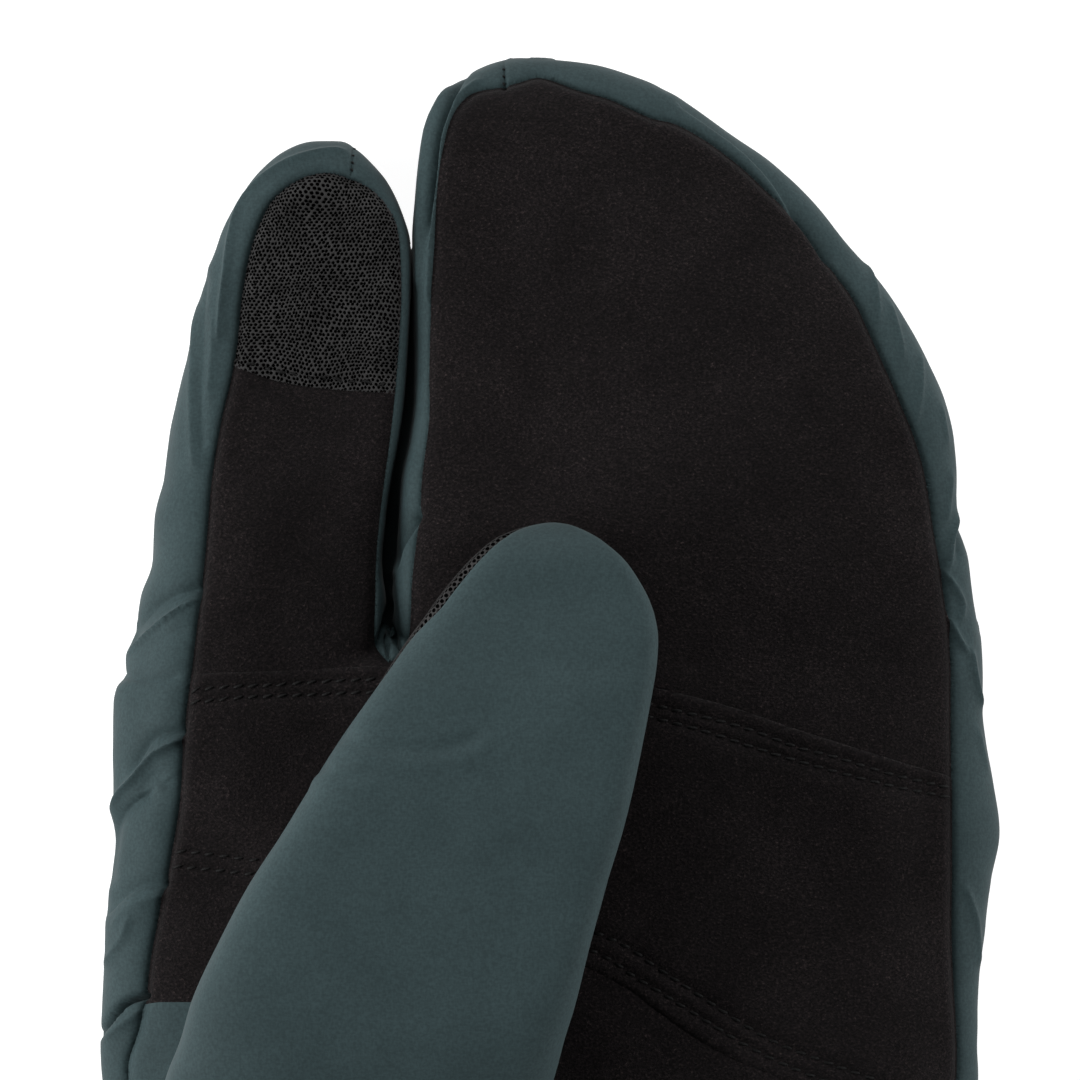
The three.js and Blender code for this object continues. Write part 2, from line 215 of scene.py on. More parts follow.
# Waves in the cloth: how high, which seed, how long, and how they are stretched along x, y and z
WAVE_COUNT = 20
PALM_WAVES = ((0.45, 3, 34), (0.2, 4, 13))
SIDE_WAVES = ((0.22, 5, 15), (0.1, 6, 6))
WRIST_GATHERS = ((0.5, 8, 9, (1, 6, 1)),)
CUFF_WAVES = ((0.35, 9, 24, (1.6, 1, 1.6)), (0.12, 10, 8))
THUMB_WAVES = ((0.18, 21, 30), (0.05, 22, 11))
PIT_ROW_WAVES = (((0.6, 31, 13),), ((0.6, 32, 13),))

# Share of the triangles that a piece's hidden inner layer keeps
SHELL_INNER_SHARE = 0.12
PATCH_INNER_SHARE = 0.1

# The stage, the lights and the camera, in metres. The lens shows the width at the focus height.
FLOOR_HALF = 4
FLOOR_GAP = 0.0002
WORLD_STRENGTH = 0.16
LIGHT_SIZE = 0.9
LIGHT_AIM = (0, 0.05, 0)
LIGHTS = (
    ("left", (-1.35, -0.15, 0.6), 31),
    ("right", (1.35, 0.1, 0.6), 18),
    ("top", (-0.2, 1.45, 0.6), 14),
)
VIEW_CENTRE = (-0.0015, 0.0629)
CAMERA_HEIGHT = 1.3
SHOWN_WIDTH = 0.1674
FOCUS_HEIGHT = 0.015
SENSOR_WIDTH = 36


def table(columns, rows):
    return {name: np.array([row[i] for row in rows], float) for i, name in enumerate(columns)}


FORM_COLUMNS = ("y", "left", "right", "mid", "thick")

# Forms of superellipse sections. corners are the lowest and highest power of a section, and it rises between
# the two squarer places. A steep wall has a higher power on one side, between its start and its end.

# Plan outline, middle height and thickness of the hand, up to the fork of the fingers
HAND = table(FORM_COLUMNS, [
    (0, -65.9, 61.2, 15.5, 35),
    (30, -64.6, 59.8, 15.5, 35),
    (58, -60.6, 56, 15.2, 34.4),
    (75, -58.6, 54, 15, 34),
    (90, -62.4, 59, 16.4, 36.8),
    (104, -67, 64, 17.4, 38.8),
    (117, -68.8, 65.9, 18, 40),
    (123, -69.2, 66, 18, 40),
    (131, -68.8, 66, 18, 40),
    (141.7, -68.4, 67.2, 18, 40),
    (148, -67.8, 68.1, 17.8, 39.6),
    (155.5, -67.2, 69.3, 17.5, 39.2),
    (163.4, -67.3, 68.4, 17.2, 38.6),
    (170, -67.3, 67.3, 17, 38),
    (175.4, -67.3, 66.5, 16.8, 37.4),
    (177.6, -66.9, 66.5, 16.7, 37.2),
    (178.8, -66.1, 66.5, 16.6, 37),
    (179.8, -65.3, 66.5, 16.6, 36.8),
    (182, -65.5, 66.5, 16.4, 36.5),
    (185, -64.2, 66.3, 16, 35.6),
    (187, -62.6, 65.6, 15.6, 35),
])
HAND_SHAPE = {"rows": HAND, "corners": (2.5, 2.5), "squarer": (100, 150), "rounded_end": 8, "end_power": 2}

INDEX = table(FORM_COLUMNS, [
    (160, -64.5, -14, 16.8, 36.5),
    (176, -64.8, -20, 16.2, 35.5),
    (185, -64.1, -24.6, 15.4, 34),
    (191.3, -63.2, -25.2, 14.8, 32.8),
    (197.5, -61.4, -25.6, 14, 31.5),
    (203.7, -61.2, -25.2, 13.4, 30.7),
    (209.9, -59.6, -24.3, 13.1, 30.1),
    (216.1, -58.9, -23.2, 12.8, 29.6),
    (222.3, -57.7, -22.4, 12.5, 29.1),
    (231.6, -55.3, -21.8, 12.2, 28.4),
    (240.9, -53.1, -21.4, 11.9, 27.7),
    (245, -51.5, -21.5, 11.8, 27.4),
    (248, -50.4, -21.9, 11.7, 27.1),
    (250.7, -49.1, -22.7, 11.6, 26.9),
    (253.3, -47.6, -23.7, 11.5, 26.6),
    (256.4, -45.4, -25.4, 11.3, 26.2),
    (259.3, -42.5, -28.1, 11.2, 26),
    (261, -40, -30.2, 11.1, 25.7),
    (261.9, -38, -31.5, 11, 25.5),
    (262.3, -36.4, -32.5, 11, 25.4),
])
INDEX_SHAPE = {
    "rows": INDEX, "corners": (2.3, 3.3), "squarer": (212, 244), "rounded_end": 12, "end_power": 2.6,
    "steep": {"side": 1, "across": (0.05, 0.5), "by": 10, "start": (178, 194), "end": (256, 242)},
}

POCKET = table(FORM_COLUMNS, [
    (160, -18, 66, 17, 37.4),
    (176, -20.5, 66, 16.6, 36.6),
    (185, -24.2, 66.3, 16.1, 35.8),
    (191.3, -24.4, 65.4, 15.7, 35),
    (197.5, -24.4, 64.6, 15.4, 34.4),
    (203.7, -23.4, 62.9, 15.1, 33.8),
    (209.9, -22.9, 62.9, 14.8, 33.2),
    (216, -21.6, 62.5, 14.5, 32.7),
    (222.3, -20.8, 60.9, 14, 32.1),
    (228.5, -20.7, 58.3, 13.6, 31.4),
    (234.7, -20.9, 54.9, 13.2, 30.6),
    (240.9, -21.1, 50.7, 12.8, 29.8),
    (247, -21.2, 45.6, 12.4, 29),
    (253.3, -20.6, 40.3, 12.1, 28.2),
    (259.5, -20, 33.8, 11.9, 27.2),
    (265.7, -18.8, 25.1, 11.8, 26.2),
    (268.8, -17.4, 20.5, 11.8, 25.4),
    (271.9, -13.6, 14.1, 11.8, 24.8),
    (274, -9.6, 7.8, 11.8, 24.2),
    (275.3, -5.4, -2.4, 11.8, 23.8),
])
POCKET_SHAPE = {
    "rows": POCKET, "corners": (2.4, 2.4), "squarer": (100, 150), "rounded_end": 14, "end_power": 2,
    "steep": {"side": -1, "across": (0.5, 0.95), "by": 3.6, "start": (178, 194), "end": (274, 250)},
}

THUMB = table(FORM_COLUMNS, [
    (82, -48, -18, 15, 13),
    (92, -57, -9, 23, 26),
    (100, -60.5, -5, 30.5, 35),
    (108, -60.6, -2.2, 38.5, 39),
    (119.3, -58.1, 0.5, 46, 37),
    (125.2, -55.7, 1.9, 48.6, 34.4),
    (131.2, -53.8, 3.8, 50.3, 32),
    (140.3, -49.4, 6.3, 52.2, 29),
    (149.3, -44.8, 8.7, 52.9, 27.3),
    (158.4, -39.1, 11.2, 52.9, 27.2),
    (167.4, -33.4, 13.3, 52.2, 27),
    (176.4, -27.6, 15.1, 51, 26.6),
    (182.5, -23.4, 16.1, 49, 26.4),
    (186, -20.9, 16.3, 48, 26.3),
    (188.8, -18.8, 15.9, 47.2, 26.2),
    (191.5, -16.8, 15, 46.4, 26.1),
    (194.5, -14.4, 13.4, 45.9, 26),
    (197.5, -11.7, 11.3, 45.5, 25.8),
    (200.6, -8, 7.6, 45.2, 25.6),
    (201.4, -6.3, 6.2, 45.1, 25.6),
    (202.1, -4.5, 4.7, 45, 25.6),
    (202.6, -3, 3.4, 45, 25.6),
    (202.95, -1.4, 1.9, 45, 25.6),
    (203.1, -0.5, 1.1, 45, 25.6),
    (203.25, 0.1, 0.5, 45, 25.6),
])
THUMB_SHAPE = {
    "rows": THUMB, "corners": (2.7, 5.2), "squarer": (108, 150), "rounded_end": 10, "end_power": 2.8,
    "steep": {"side": 1, "across": (0.5, 0.95), "by": 4, "start": (112, 140), "end": (260, 240)},
}

# Middle line of the slit between index and pocket
SLIT = table(("y", "x"), [
    (170, -24.6),
    (187, -24.5),
    (191.3, -24.9),
    (197.5, -25.1),
    (203.7, -24.6),
    (209.9, -23.9),
    (216, -22.8),
    (222.3, -22),
    (231.6, -21.5),
    (240.9, -21.25),
    (247, -21.5),
    (256, -23),
    (276, -25),
])

# Seam between the suede palm and the teal cloth, from the wrist up the index side and down the far side
PALM_SEAM = [
    (-54, 60), (-54.4, 80), (-57.8, 92), (-62, 104), (-64.6, 114), (-65.2, 120), (-64, 124), (-62.4, 129.6),
    (-61.6, 136), (-60.4, 142.4), (-58.4, 151.6), (-57, 160.5), (-56.2, 172), (-55, 182), (-53.7, 193),
    (-53, 201), (-52.3, 210), (-50.8, 219), (-48.6, 228.5), (-47.5, 239), (-45.8, 247), (-43.2, 252.6),
    (-40, 255.6), (-37, 257.1), (-33.8, 257.5), (-30, 256.2), (-27.2, 254.6), (-24.9, 252.2), (-23.3, 249),
    (-22.8, 243), (-22.7, 237), (-23.1, 230), (-23.7, 222), (-24.4, 215.5), (-25.2, 209), (-26.1, 201),
    (-26.5, 193), (-26.6, 186), (-25.9, 183.6), (-24.6, 182.6), (-23.2, 183), (-22.2, 184.4), (-21.6, 188),
    (-21.2, 195), (-20.4, 202), (-19.7, 210.5), (-18.7, 219), (-18.7, 227), (-18.4, 236), (-17.8, 246),
    (-17.3, 256), (-16.2, 262), (-15.3, 265.2), (-13.6, 268.2), (-11.2, 270.2), (-7.6, 270.9), (-4.4, 271.9),
    (-2, 272.6), (0.6, 272), (4.5, 270.4), (9.2, 269), (12.6, 267.4), (15.8, 266), (20, 265), (24.9, 262.3),
    (29.8, 258.6), (34, 254.4), (39.2, 249.4), (43.2, 243.6), (47.2, 237.6), (50.4, 230.8), (53.4, 224),
    (56.2, 217), (58.2, 210.5), (59.6, 202.5), (60.7, 195), (61.8, 187), (62.1, 176), (62.1, 158),
    (62.1, 140), (62.7, 129), (63.1, 119), (61.6, 108), (56.8, 94), (51, 82), (50.4, 60),
]

PATCH_TOP = [(-75, 178.4), (-54.6, 180), (-41, 180.6), (-25, 181.3), (-6, 180.9), (12, 178.8), (27, 175.3),
             (39, 171.2), (57, 165.6), (75, 160.4)]
PATCH_BOTTOM = [(75, 101), (52, 110), (35, 118.6), (28.6, 121.2), (22.4, 124.6), (16.4, 128.8), (11.6, 132.4),
                (2, 137), (-16, 143), (-34, 146.6), (-47, 147.7), (-59, 148.2), (-75, 148.6)]
INDEX_PATCH_BOTTOM = [(-58, 230), (-48.8, 227.2), (-42, 225), (-34.6, 223.8), (-23.6, 223), (-22.3, 222.9)]

# Edge of the teal piece at the thumb's root, from the left border round under the thumb to the wrist
ROOT_EDGE = [(-80, 129.4), (-62.2, 129.4), (-59.6, 129.8), (-54.6, 129.9), (-46, 129), (-24, 121), (-8, 106),
             (-5, 90), (-6, 60), (-80, 60)]

# Plan of the gusset between the fingers, from its joint on the index tip to its joint on the pocket tip
GUSSET_STRIP = [(-30.6, 290), (-30.6, 257.6), (-31.4, 240), (-31.2, 190), (-29.5, 176), (-18.5, 176),
                (-16.2, 190), (-14, 262), (-7, 269), (-7, 290)]
GUSSET_FLOOR_Z = 9
GUSSET_JOINTS = [[(-30.6, 266), (-30.6, 257)], [(-7, 279), (-7, 270.4)]]
JOINT_STITCHES = [[(-30.5, 257), (-30.25, 261.2)], [(-7.1, 270.4), (-7.1, 274)]]

# Folds of the teal cloth. A row says how far a fold sinks, or rises where that is negative, its widths on
# the left and the right of its direction, over what length its ends fade, and the points it runs along.
FOLDS = [
    (1.1, 0.8, 2.1, 3, [(-67, 184.5), (-63.6, 187.2), (-60.5, 190.2), (-57, 192.2), (-52, 194)]),
    (-0.7, 0.5, 0.35, 3, [(-66.4, 182), (-63.9, 184), (-61.8, 186), (-59.5, 187.7), (-53.4, 192.2)]),
    (0.4, 0.9, 1.6, 3, [(-64, 183), (-59.4, 185.4), (-54, 187.6)]),
    (0.6, 0.8, 0.7, 3, [(-69, 178.9), (-65, 179.3), (-60.5, 178.9), (-55.5, 180)]),
    (0.9, 1, 0.5, 3, [(-64.6, 164.2), (-62.8, 166.9), (-60.9, 169.6), (-59, 170.8), (-54, 171.4)]),
    (-0.8, 0.5, 0.6, 3, [(-68.2, 151.6), (-67.8, 156.5), (-66, 161), (-63.7, 163.8), (-61.4, 166.4),
      (-59.5, 168.2), (-55, 170.8)]),
    (0.55, 0.7, 1.4, 3, [(-63.8, 160.6), (-62, 162.8), (-60.4, 164.5), (-57.4, 165.2)]),
    (0.9, 0.45, 1.3, 3, [(-68, 146), (-67.6, 151), (-67, 155.2), (-65.8, 158.2), (-63.4, 160.4),
      (-59.6, 163)]),
    (1, 0.45, 1.6, 3, [(-56, 148), (-59.4, 147.7), (-61.9, 147.5), (-64.9, 146), (-69.4, 141.6)]),
    (-0.4, 1.3, 0.7, 3, [(-57, 146.6), (-63.4, 144.5), (-67.4, 140)]),
    (-0.4, 0.6, 0.8, 3, [(-63.4, 144), (-64.8, 139.8), (-66.1, 137.8), (-69.4, 133.8)]),
    (3, 0.25, 0.4, 3, [(-59, 131.4), (-62.1, 130.5), (-64.9, 129.3), (-66.9, 126.9), (-71, 121.8)]),
    (-0.4, 0.8, 0.5, 3, [(-60.8, 130), (-66.3, 125.4), (-68.6, 122.4)]),
    (-0.35, 0.8, 0.9, 3, [(-54, 131), (-58.1, 127.5), (-60.5, 125.2), (-63, 118)]),
    (0.2, 1.6, 1.2, 3, [(-53.2, 131), (-56.9, 125.5), (-59.6, 118)]),
    (-0.55, 0.45, 0.4, 3, [(-50.6, 230), (-49.7, 240), (-47.9, 249.6), (-45.2, 254.4), (-41.3, 257.7),
      (-37.4, 259.4), (-33.6, 260), (-30.4, 259.8)]),
    (-0.35, 0.6, 0.6, 3, [(-51.2, 236), (-51.5, 229), (-52.6, 221)]),
    (-0.4, 0.7, 0.7, 3, [(-54.1, 239), (-54.6, 223), (-54.1, 210)]),
    (0.5, 0.8, 0.8, 3, [(-52.4, 243), (-53.2, 228.3), (-53.3, 213)]),
    (0.9, 1.9, 0.35, 3, [(18.6, 268.4), (22.8, 265.8), (30.6, 260.2), (36.8, 252.6), (40.7, 246.6),
      (43.6, 242)]),
    (-0.35, 0.4, 0.4, 3, [(48.2, 245.4), (49.2, 242), (50.3, 235.6), (50.3, 232.6)]),
    (-0.35, 0.4, 0.5, 3, [(51.6, 238.4), (53.6, 231), (54.2, 227)]),
    (-0.35, 0.4, 0.5, 3, [(56.8, 230.6), (56.7, 224), (56, 217)]),
    (-0.3, 0.4, 0.5, 3, [(59.6, 222.6), (61, 214)]),
    (-0.3, 0.4, 0.5, 3, [(61.6, 212.4), (60.7, 202)]),
    (-0.6, 0.5, 0.4, 3, [(63, 206), (61.9, 202.1), (61.4, 199.8), (61.2, 195)]),
    (0.6, 0.5, 0.5, 3, [(64, 205), (62.7, 200.8), (62.4, 196)]),
    (-0.45, 0.4, 0.4, 3, [(60, 197), (62.3, 192.9), (63.2, 190.2), (62.7, 186.6)]),
    (-0.5, 0.4, 0.4, 3, [(61, 190.4), (62.6, 185.6), (64.4, 182)]),
    (-0.5, 0.5, 0.4, 3, [(64.2, 185), (65, 178), (66.6, 173.6)]),
    (-0.3, 0.5, 0.5, 3, [(65, 172.6), (67.2, 163.6)]),
    (-0.35, 0.5, 0.5, 3, [(63, 148.8), (65, 142.1), (65.6, 133.6)]),
    (-0.45, 0.4, 0.4, 3, [(-9, 271.6), (-11.5, 270.8), (-14, 268.6), (-15.8, 265.4), (-16.7, 262.1),
      (-17.8, 256), (-18.3, 246), (-18.8, 236)]),
    (2.4, 0.25, 0.5, 9, [(-5, 281), (-11.6, 274), (-14, 270.4), (-15.2, 267.6), (-16.3, 265),
      (-17.1, 262), (-17.8, 257), (-18.3, 252), (-18.8, 245)]),
    (-0.3, 0.5, 0.6, 3, [(-14, 273), (-18, 266), (-19.4, 259), (-20, 250), (-20.2, 238)]),
    (1.6, 0.3, 1.3, 3, [(-18.8, 206), (-20.4, 203.6), (-21.8, 201.4), (-23.2, 198.9), (-23.8, 195.4)]),
    (1.6, 0.3, 0.35, 3, [(-24.3, 192), (-24.9, 188.5), (-25.6, 186), (-26.1, 183.8)]),
    (1.8, 0.3, 0.35, 3, [(-24.9, 188.4), (-24, 185.9), (-22.9, 184.3), (-21.6, 182.8)]),
    (1.3, 0.3, 0.3, 3, [(-25, 187), (-24.8, 183.4), (-24.3, 181.4)]),
]
FOLD_TAPER = 3
FOLD_REACH = 3.2


def through(knots, values, at):
    """Monotone cubic curve through the knots, level past its ends."""
    span = np.diff(knots)
    rise = np.diff(values) / span
    slope = np.zeros(len(knots))
    same = rise[:-1] * rise[1:] > 0
    slope[1:-1][same] = 2 * rise[:-1][same] * rise[1:][same] / (rise[:-1][same] + rise[1:][same])
    slope[0], slope[-1] = rise[0], rise[-1]
    at = np.clip(at, knots[0], knots[-1])
    k = np.clip(np.searchsorted(knots, at, side="right") - 1, 0, len(span) - 1)
    u = (at - knots[k]) / span[k]
    start = slope[k] * span[k]
    finish = slope[k + 1] * span[k]
    change = values[k + 1] - values[k]
    bend = start + finish - 2 * change
    return values[k] + u * (start + u * (3 * change - 2 * start - finish + u * bend))


def read(rows, name, y):
    """A column of a table at each y."""
    return through(rows["y"], rows[name], y)


def smooth_step(value, low, high):
    u = np.clip((value - low) / (high - low), 0, 1)
    return u * u * (3 - 2 * u)


def smooth_min(a, b, width):
    h = np.clip(0.5 + 0.5 * (b - a) / width, 0, 1)
    return b + (a - b) * h - width * h * (1 - h)


def bell(distance, width):
    return np.exp(-((distance / width) ** 2))


def waves(points, seed, length, stretch=(1, 1, 1)):
    """Soft random waves of about that length, from about -1 to 1."""
    rng = np.random.default_rng(seed)
    scaled = points / np.array(stretch, float)
    total = np.zeros(len(points))
    for _ in range(WAVE_COUNT):
        direction = rng.normal(size=3)
        direction /= np.linalg.norm(direction)
        turn = 2 * math.pi / (length * rng.uniform(0.7, 1.4))
        total += np.sin(scaled @ direction * turn + rng.uniform(0, 2 * math.pi))
    return total / math.sqrt(2 * WAVE_COUNT)


def swells(points, layers):
    """Layers of waves on top of each other."""
    return sum(height * waves(points, *layer) for height, *layer in layers)


def spline(points, closed, per_span=4):
    """Points on a Catmull-Rom curve."""
    knots = np.array(points, float)
    ends = (knots[-1:], knots[:2]) if closed else (knots[:1], knots[-1:])
    padded = np.concatenate([ends[0], knots, ends[1]])
    result = []
    for before, start, end, after in zip(padded, padded[1:], padded[2:], padded[3:]):
        for step in range(per_span):
            u = step / per_span
            result.append(0.5 * (2 * start + (end - before) * u
                                 + (2 * before - 5 * start + 4 * end - after) * u ** 2
                                 + (3 * start - before - 3 * end + after) * u ** 3))
    if not closed:
        result.append(knots[-1])
    return np.array(result)


def from_segment(start, end, x, y):
    """A segment's direction, the offsets on plan from its start, and the distance to its nearest point."""
    along = end - start
    offset_x, offset_y = x - start[0], y - start[1]
    u = np.clip((offset_x * along[0] + offset_y * along[1]) / (along @ along), 0, 1)
    return along, offset_x, offset_y, np.hypot(offset_x - u * along[0], offset_y - u * along[1])


def line_distance(line, x, y):
    """Distance on plan to an open line, signed positive on the left of its direction."""
    best = np.full(x.shape, np.inf)
    side = np.ones(x.shape)
    for start, end in zip(line[:-1], line[1:]):
        along, offset_x, offset_y, distance = from_segment(start, end, x, y)
        nearer = distance < best
        best = np.where(nearer, distance, best)
        side = np.where(nearer, np.sign(along[0] * offset_y - along[1] * offset_x + 1e-9), side)
    return best * side


def away_from_ends(line, x, y, taper=FOLD_TAPER):
    """Rises from 0 at both ends of a line to 1 further along it."""
    first, last = (np.hypot(x - end[0], y - end[1]) for end in (line[0], line[-1]))
    return smooth_step(np.minimum(first, last), 0, taper)


def inside_distance(outline, x, y):
    """Distance on plan to a closed outline, positive inside it."""
    best = np.full(x.shape, np.inf)
    inside = np.zeros(x.shape, bool)
    for start, end in zip(outline, np.roll(outline, -1, axis=0)):
        along, offset_x, offset_y, distance = from_segment(start, end, x, y)
        best = np.minimum(best, distance)
        spans = (start[1] > y) != (end[1] > y)
        if abs(along[1]) > 1e-12:
            inside ^= spans & (offset_x < along[0] * offset_y / along[1])
    return np.where(inside, best, -best)


palm_outline = spline(PALM_SEAM, closed=True, per_span=3)
root_outline = np.array(ROOT_EDGE, float)
gusset_outline = np.array(GUSSET_STRIP, float)
patch_outline = np.concatenate([spline(PATCH_TOP, closed=False), spline(PATCH_BOTTOM, closed=False)])
index_patch_outline = np.concatenate([spline(INDEX_PATCH_BOTTOM, closed=False), [(-22.3, 290), (-80, 290)]])
joint_lines = [np.array(line, float) for line in GUSSET_JOINTS]
joint_rows = [np.array(line) for line in JOINT_STITCHES]
fold_lines = [spline(fold[-1], closed=False, per_span=3) for fold in FOLDS]


# Forms, as fields that are negative inside the padding
def half_height(shape, y):
    """Half the thickness of a form, which goes to zero at its rounded end."""
    rows = shape["rows"]
    into = np.clip((y - rows["y"][-1]) / shape["rounded_end"] + 1, 0, 1)
    power = shape["end_power"]
    return read(rows, "thick", y) / 2 * np.maximum(1 - into ** power, 1e-4) ** (1 / power)


def form_field(shape, x, y, z):
    """About how far a point lies outside a form of superellipse sections."""
    rows = shape["rows"]
    last = rows["y"][-1] - TIP_CUT
    beyond = y - last
    y = np.minimum(y, last)
    left = read(rows, "left", y)
    right = read(rows, "right", y)
    mid = read(rows, "mid", y)
    height = half_height(shape, y)
    half_width = (right - left) / 2
    offset = (x - (left + right) / 2) / half_width
    across = np.abs(offset) + 1e-6
    up = np.abs(z - mid) / height + 1e-6
    low_power, high_power = shape["corners"]
    power = low_power + (high_power - low_power) * smooth_step(y, *shape["squarer"])
    if "steep" in shape:
        steep = shape["steep"]
        along = smooth_step(y, *steep["start"]) * smooth_step(y, *steep["end"])
        power = power + steep["by"] * along * smooth_step(offset * steep["side"], *steep["across"])
    size = (across ** power + up ** power) ** (1 / power)
    slope = size ** (1 - power) * np.hypot(across ** (power - 1) / half_width, up ** (power - 1) / height)
    return np.maximum(np.clip((size - 1) / slope, -FIELD_LIMIT, FIELD_LIMIT), beyond)


def slit_length(y):
    """1 along the slit between the fingers, and 0 before and past it."""
    return smooth_step(y, *SLIT_START_Y) * smooth_step(y, *SLIT_END_Y)


def slit_shift(y, z):
    """How far the low part of the slit lies under the index, so that it isn't open from above."""
    top = LEAN_TOP_Z - LEAN_DROP * smooth_step(y, *LEAN_DROP_Y)
    return SLIT_LEAN * smooth_step(z, top, top - LEAN_HEIGHT) * slit_length(y)


def slit_lean(x, y, z):
    shift = slit_shift(y, z)
    return shift * bell(x + shift - read(SLIT, "x", y), SLIT_REACH)


def hand_field(x, y, z):
    x = x + slit_lean(x, y, z)
    past_slit = x - read(SLIT, "x", y)
    closing = SLIT_CLOSING * smooth_step(z, *SLIT_CLOSING_Z) * slit_length(y) * bell(past_slit, SLIT_REACH)
    index = -smooth_min(-form_field(INDEX_SHAPE, x - closing, y, z), -past_slit - SLIT_HALF, SLIT_ROUNDING)
    pocket = -smooth_min(-form_field(POCKET_SHAPE, x + closing, y, z), past_slit - SLIT_HALF, SLIT_ROUNDING)
    fingers = np.minimum(index, pocket)
    held = sum(depth * smooth_step(y, *band) for depth, *band in FINGERS_HELD)
    body = smooth_min(form_field(HAND_SHAPE, x, y, z), fingers + held, FORK_BLEND)
    return -smooth_min(-body, z, FLOOR_ROUNDING)


def upright(points):
    """Plan places as they would be if the slit's walls stood straight."""
    x, y, z = points.T
    return x + slit_lean(x, y, z), y


def thumb_field(x, y, z):
    return form_field(THUMB_SHAPE, x, y, z)


def middle_height(y):
    return np.where(y < 175, read(HAND, "mid", y), read(POCKET, "mid", y))


def closed_slit(x, y, z):
    """Maps a space where the slit between the fingers is held open to the mitten as it lies."""
    middle = read(SLIT, "x", y) - slit_shift(y, z)
    opened = SLIT_OPENED * smooth_step(y, *SLIT_OPENED_Y)
    half = SLIT_HALF
    offset = x - middle
    squeezed = middle - half + (offset + half + opened) * 2 * half / (2 * half + opened)
    return np.where(offset > half, x, np.where(offset < -half - opened, x + opened, squeezed))


def spread_field(x, y, z):
    return hand_field(closed_slit(x, y, z), y, z)


def surface_nets(values, low, step):
    """Quads on the zero surface of a field that is sampled on a grid."""
    inside = values < 0
    cells_shape = np.array(values.shape) - 1
    count = np.zeros(cells_shape, int)
    for corner in np.ndindex(2, 2, 2):
        count += inside[tuple(slice(i, i + size) for i, size in zip(corner, cells_shape))]
    mixed = (count > 0) & (count < 8)
    cells = np.argwhere(mixed)
    index = np.full(mixed.shape, -1)
    index[mixed] = np.arange(len(cells))
    total = np.zeros((len(cells), 3))
    hits = np.zeros(len(cells))
    for axis in range(3):
        others = [a for a in range(3) if a != axis]
        for shift in np.ndindex(2, 2):
            start = cells.copy()
            start[:, others] += shift
            end = start.copy()
            end[:, axis] += 1
            first = values[tuple(start.T)]
            last = values[tuple(end.T)]
            crossed = (first < 0) != (last < 0)
            share = np.where(crossed, first / np.where(crossed, first - last, 1), 0)
            place = start.astype(float)
            place[:, axis] += share
            total[crossed] += place[crossed]
            hits[crossed] += 1
    points = np.array(low) + step * total / hits[:, None]
    quads = []
    for axis in range(3):
        u, v = [a for a in range(3) if a != axis]
        edge = np.argwhere(np.diff(inside, axis=axis))
        sides = edge[:, [u, v]]
        edge = edge[((sides > 0) & (sides < cells_shape[[u, v]])).all(axis=1)]
        corners = []
        for i, j in ((0, 0), (1, 0), (1, 1), (0, 1)):
            cell = edge.copy()
            cell[:, u] -= i
            cell[:, v] -= j
            corners.append(index[tuple(cell.T)])
        quad = np.stack(corners, axis=1)
        outwards = inside[tuple(edge.T)]
        flip = outwards if axis == 1 else ~outwards
        quad[flip] = quad[flip][:, ::-1]
        quads.append(quad)
    quads = np.concatenate(quads)
    return points, np.concatenate([quads[:, [0, 1, 2]], quads[:, [0, 2, 3]]])


def slopes(level, points, reach):
    """How fast a level rises along x, y and z at each point."""
    result = np.empty_like(points)
    for axis in range(3):
        step = np.zeros(3)
        step[axis] = reach
        result[:, axis] = (level(points + step) - level(points - step)) / (2 * reach)
    return result


def gradient(field, points, reach=0.05):
    return slopes(lambda places: field(*places.T), points, reach)


def settle(field, points, rounds=3):
    """Moves points on to the zero surface of a field."""
    for _ in range(rounds):
        slope = gradient(field, points)
        shift = field(*points.T) / np.maximum((slope ** 2).sum(1), 0.04)
        move = slope * shift[:, None]
        length = np.linalg.norm(move, axis=1, keepdims=True)
        points = points - move * np.minimum(1, LONGEST_MOVE / np.maximum(length, 1e-9))
    return points


def outward(field, points):
    slope = gradient(field, points, NORMAL_REACH)
    return slope / np.maximum(np.linalg.norm(slope, axis=1, keepdims=True), 1e-9)


def surface(field, low, high, step):
    """The zero surface of a field inside a box."""
    grid = np.meshgrid(*(np.arange(a, b, step) for a, b in zip(low, high)), indexing="ij", sparse=True)
    points, tris = surface_nets(field(*grid), low, step)
    return settle(field, points), tris


def refine(points, tris, wanted, longest):
    """Splits each edge that is too long and whose ends are both wanted, and the triangles on it."""
    edges = np.sort(np.concatenate([tris[:, [0, 1]], tris[:, [1, 2]], tris[:, [2, 0]]]), axis=1)
    codes = edges[:, 0] * len(points) + edges[:, 1]
    codes, first, back = np.unique(codes, return_index=True, return_inverse=True)
    unique = edges[first]
    length = np.linalg.norm(points[unique[:, 0]] - points[unique[:, 1]], axis=1)
    split = wanted[unique].all(axis=1) & (length > longest)
    middle = np.full(len(codes), -1)
    middle[split] = len(points) + np.arange(split.sum())
    points = np.concatenate([points, points[unique[split]].mean(axis=1)])
    mids = middle[back].reshape(3, -1).T
    count = (mids >= 0).sum(axis=1)
    made = [tris[count == 0]]
    for turn in range(3):
        order = np.roll(np.arange(3), -turn)
        a, b, c = tris[:, order].T
        m, n, o = mids[:, order].T
        one = (count == 1) & (m >= 0)
        two = (count == 2) & (o < 0)
        made.append(np.stack([a, m, c], axis=1)[one])
        made.append(np.stack([m, b, c], axis=1)[one])
        made.append(np.stack([m, b, n], axis=1)[two])
        made.append(np.stack([a, m, n], axis=1)[two])
        made.append(np.stack([a, n, c], axis=1)[two])
        if turn == 0:
            whole = count == 3
            for corner in ([a, m, o], [m, b, n], [o, n, c], [m, n, o]):
                made.append(np.stack(corner, axis=1)[whole])
    return points, np.concatenate(made)


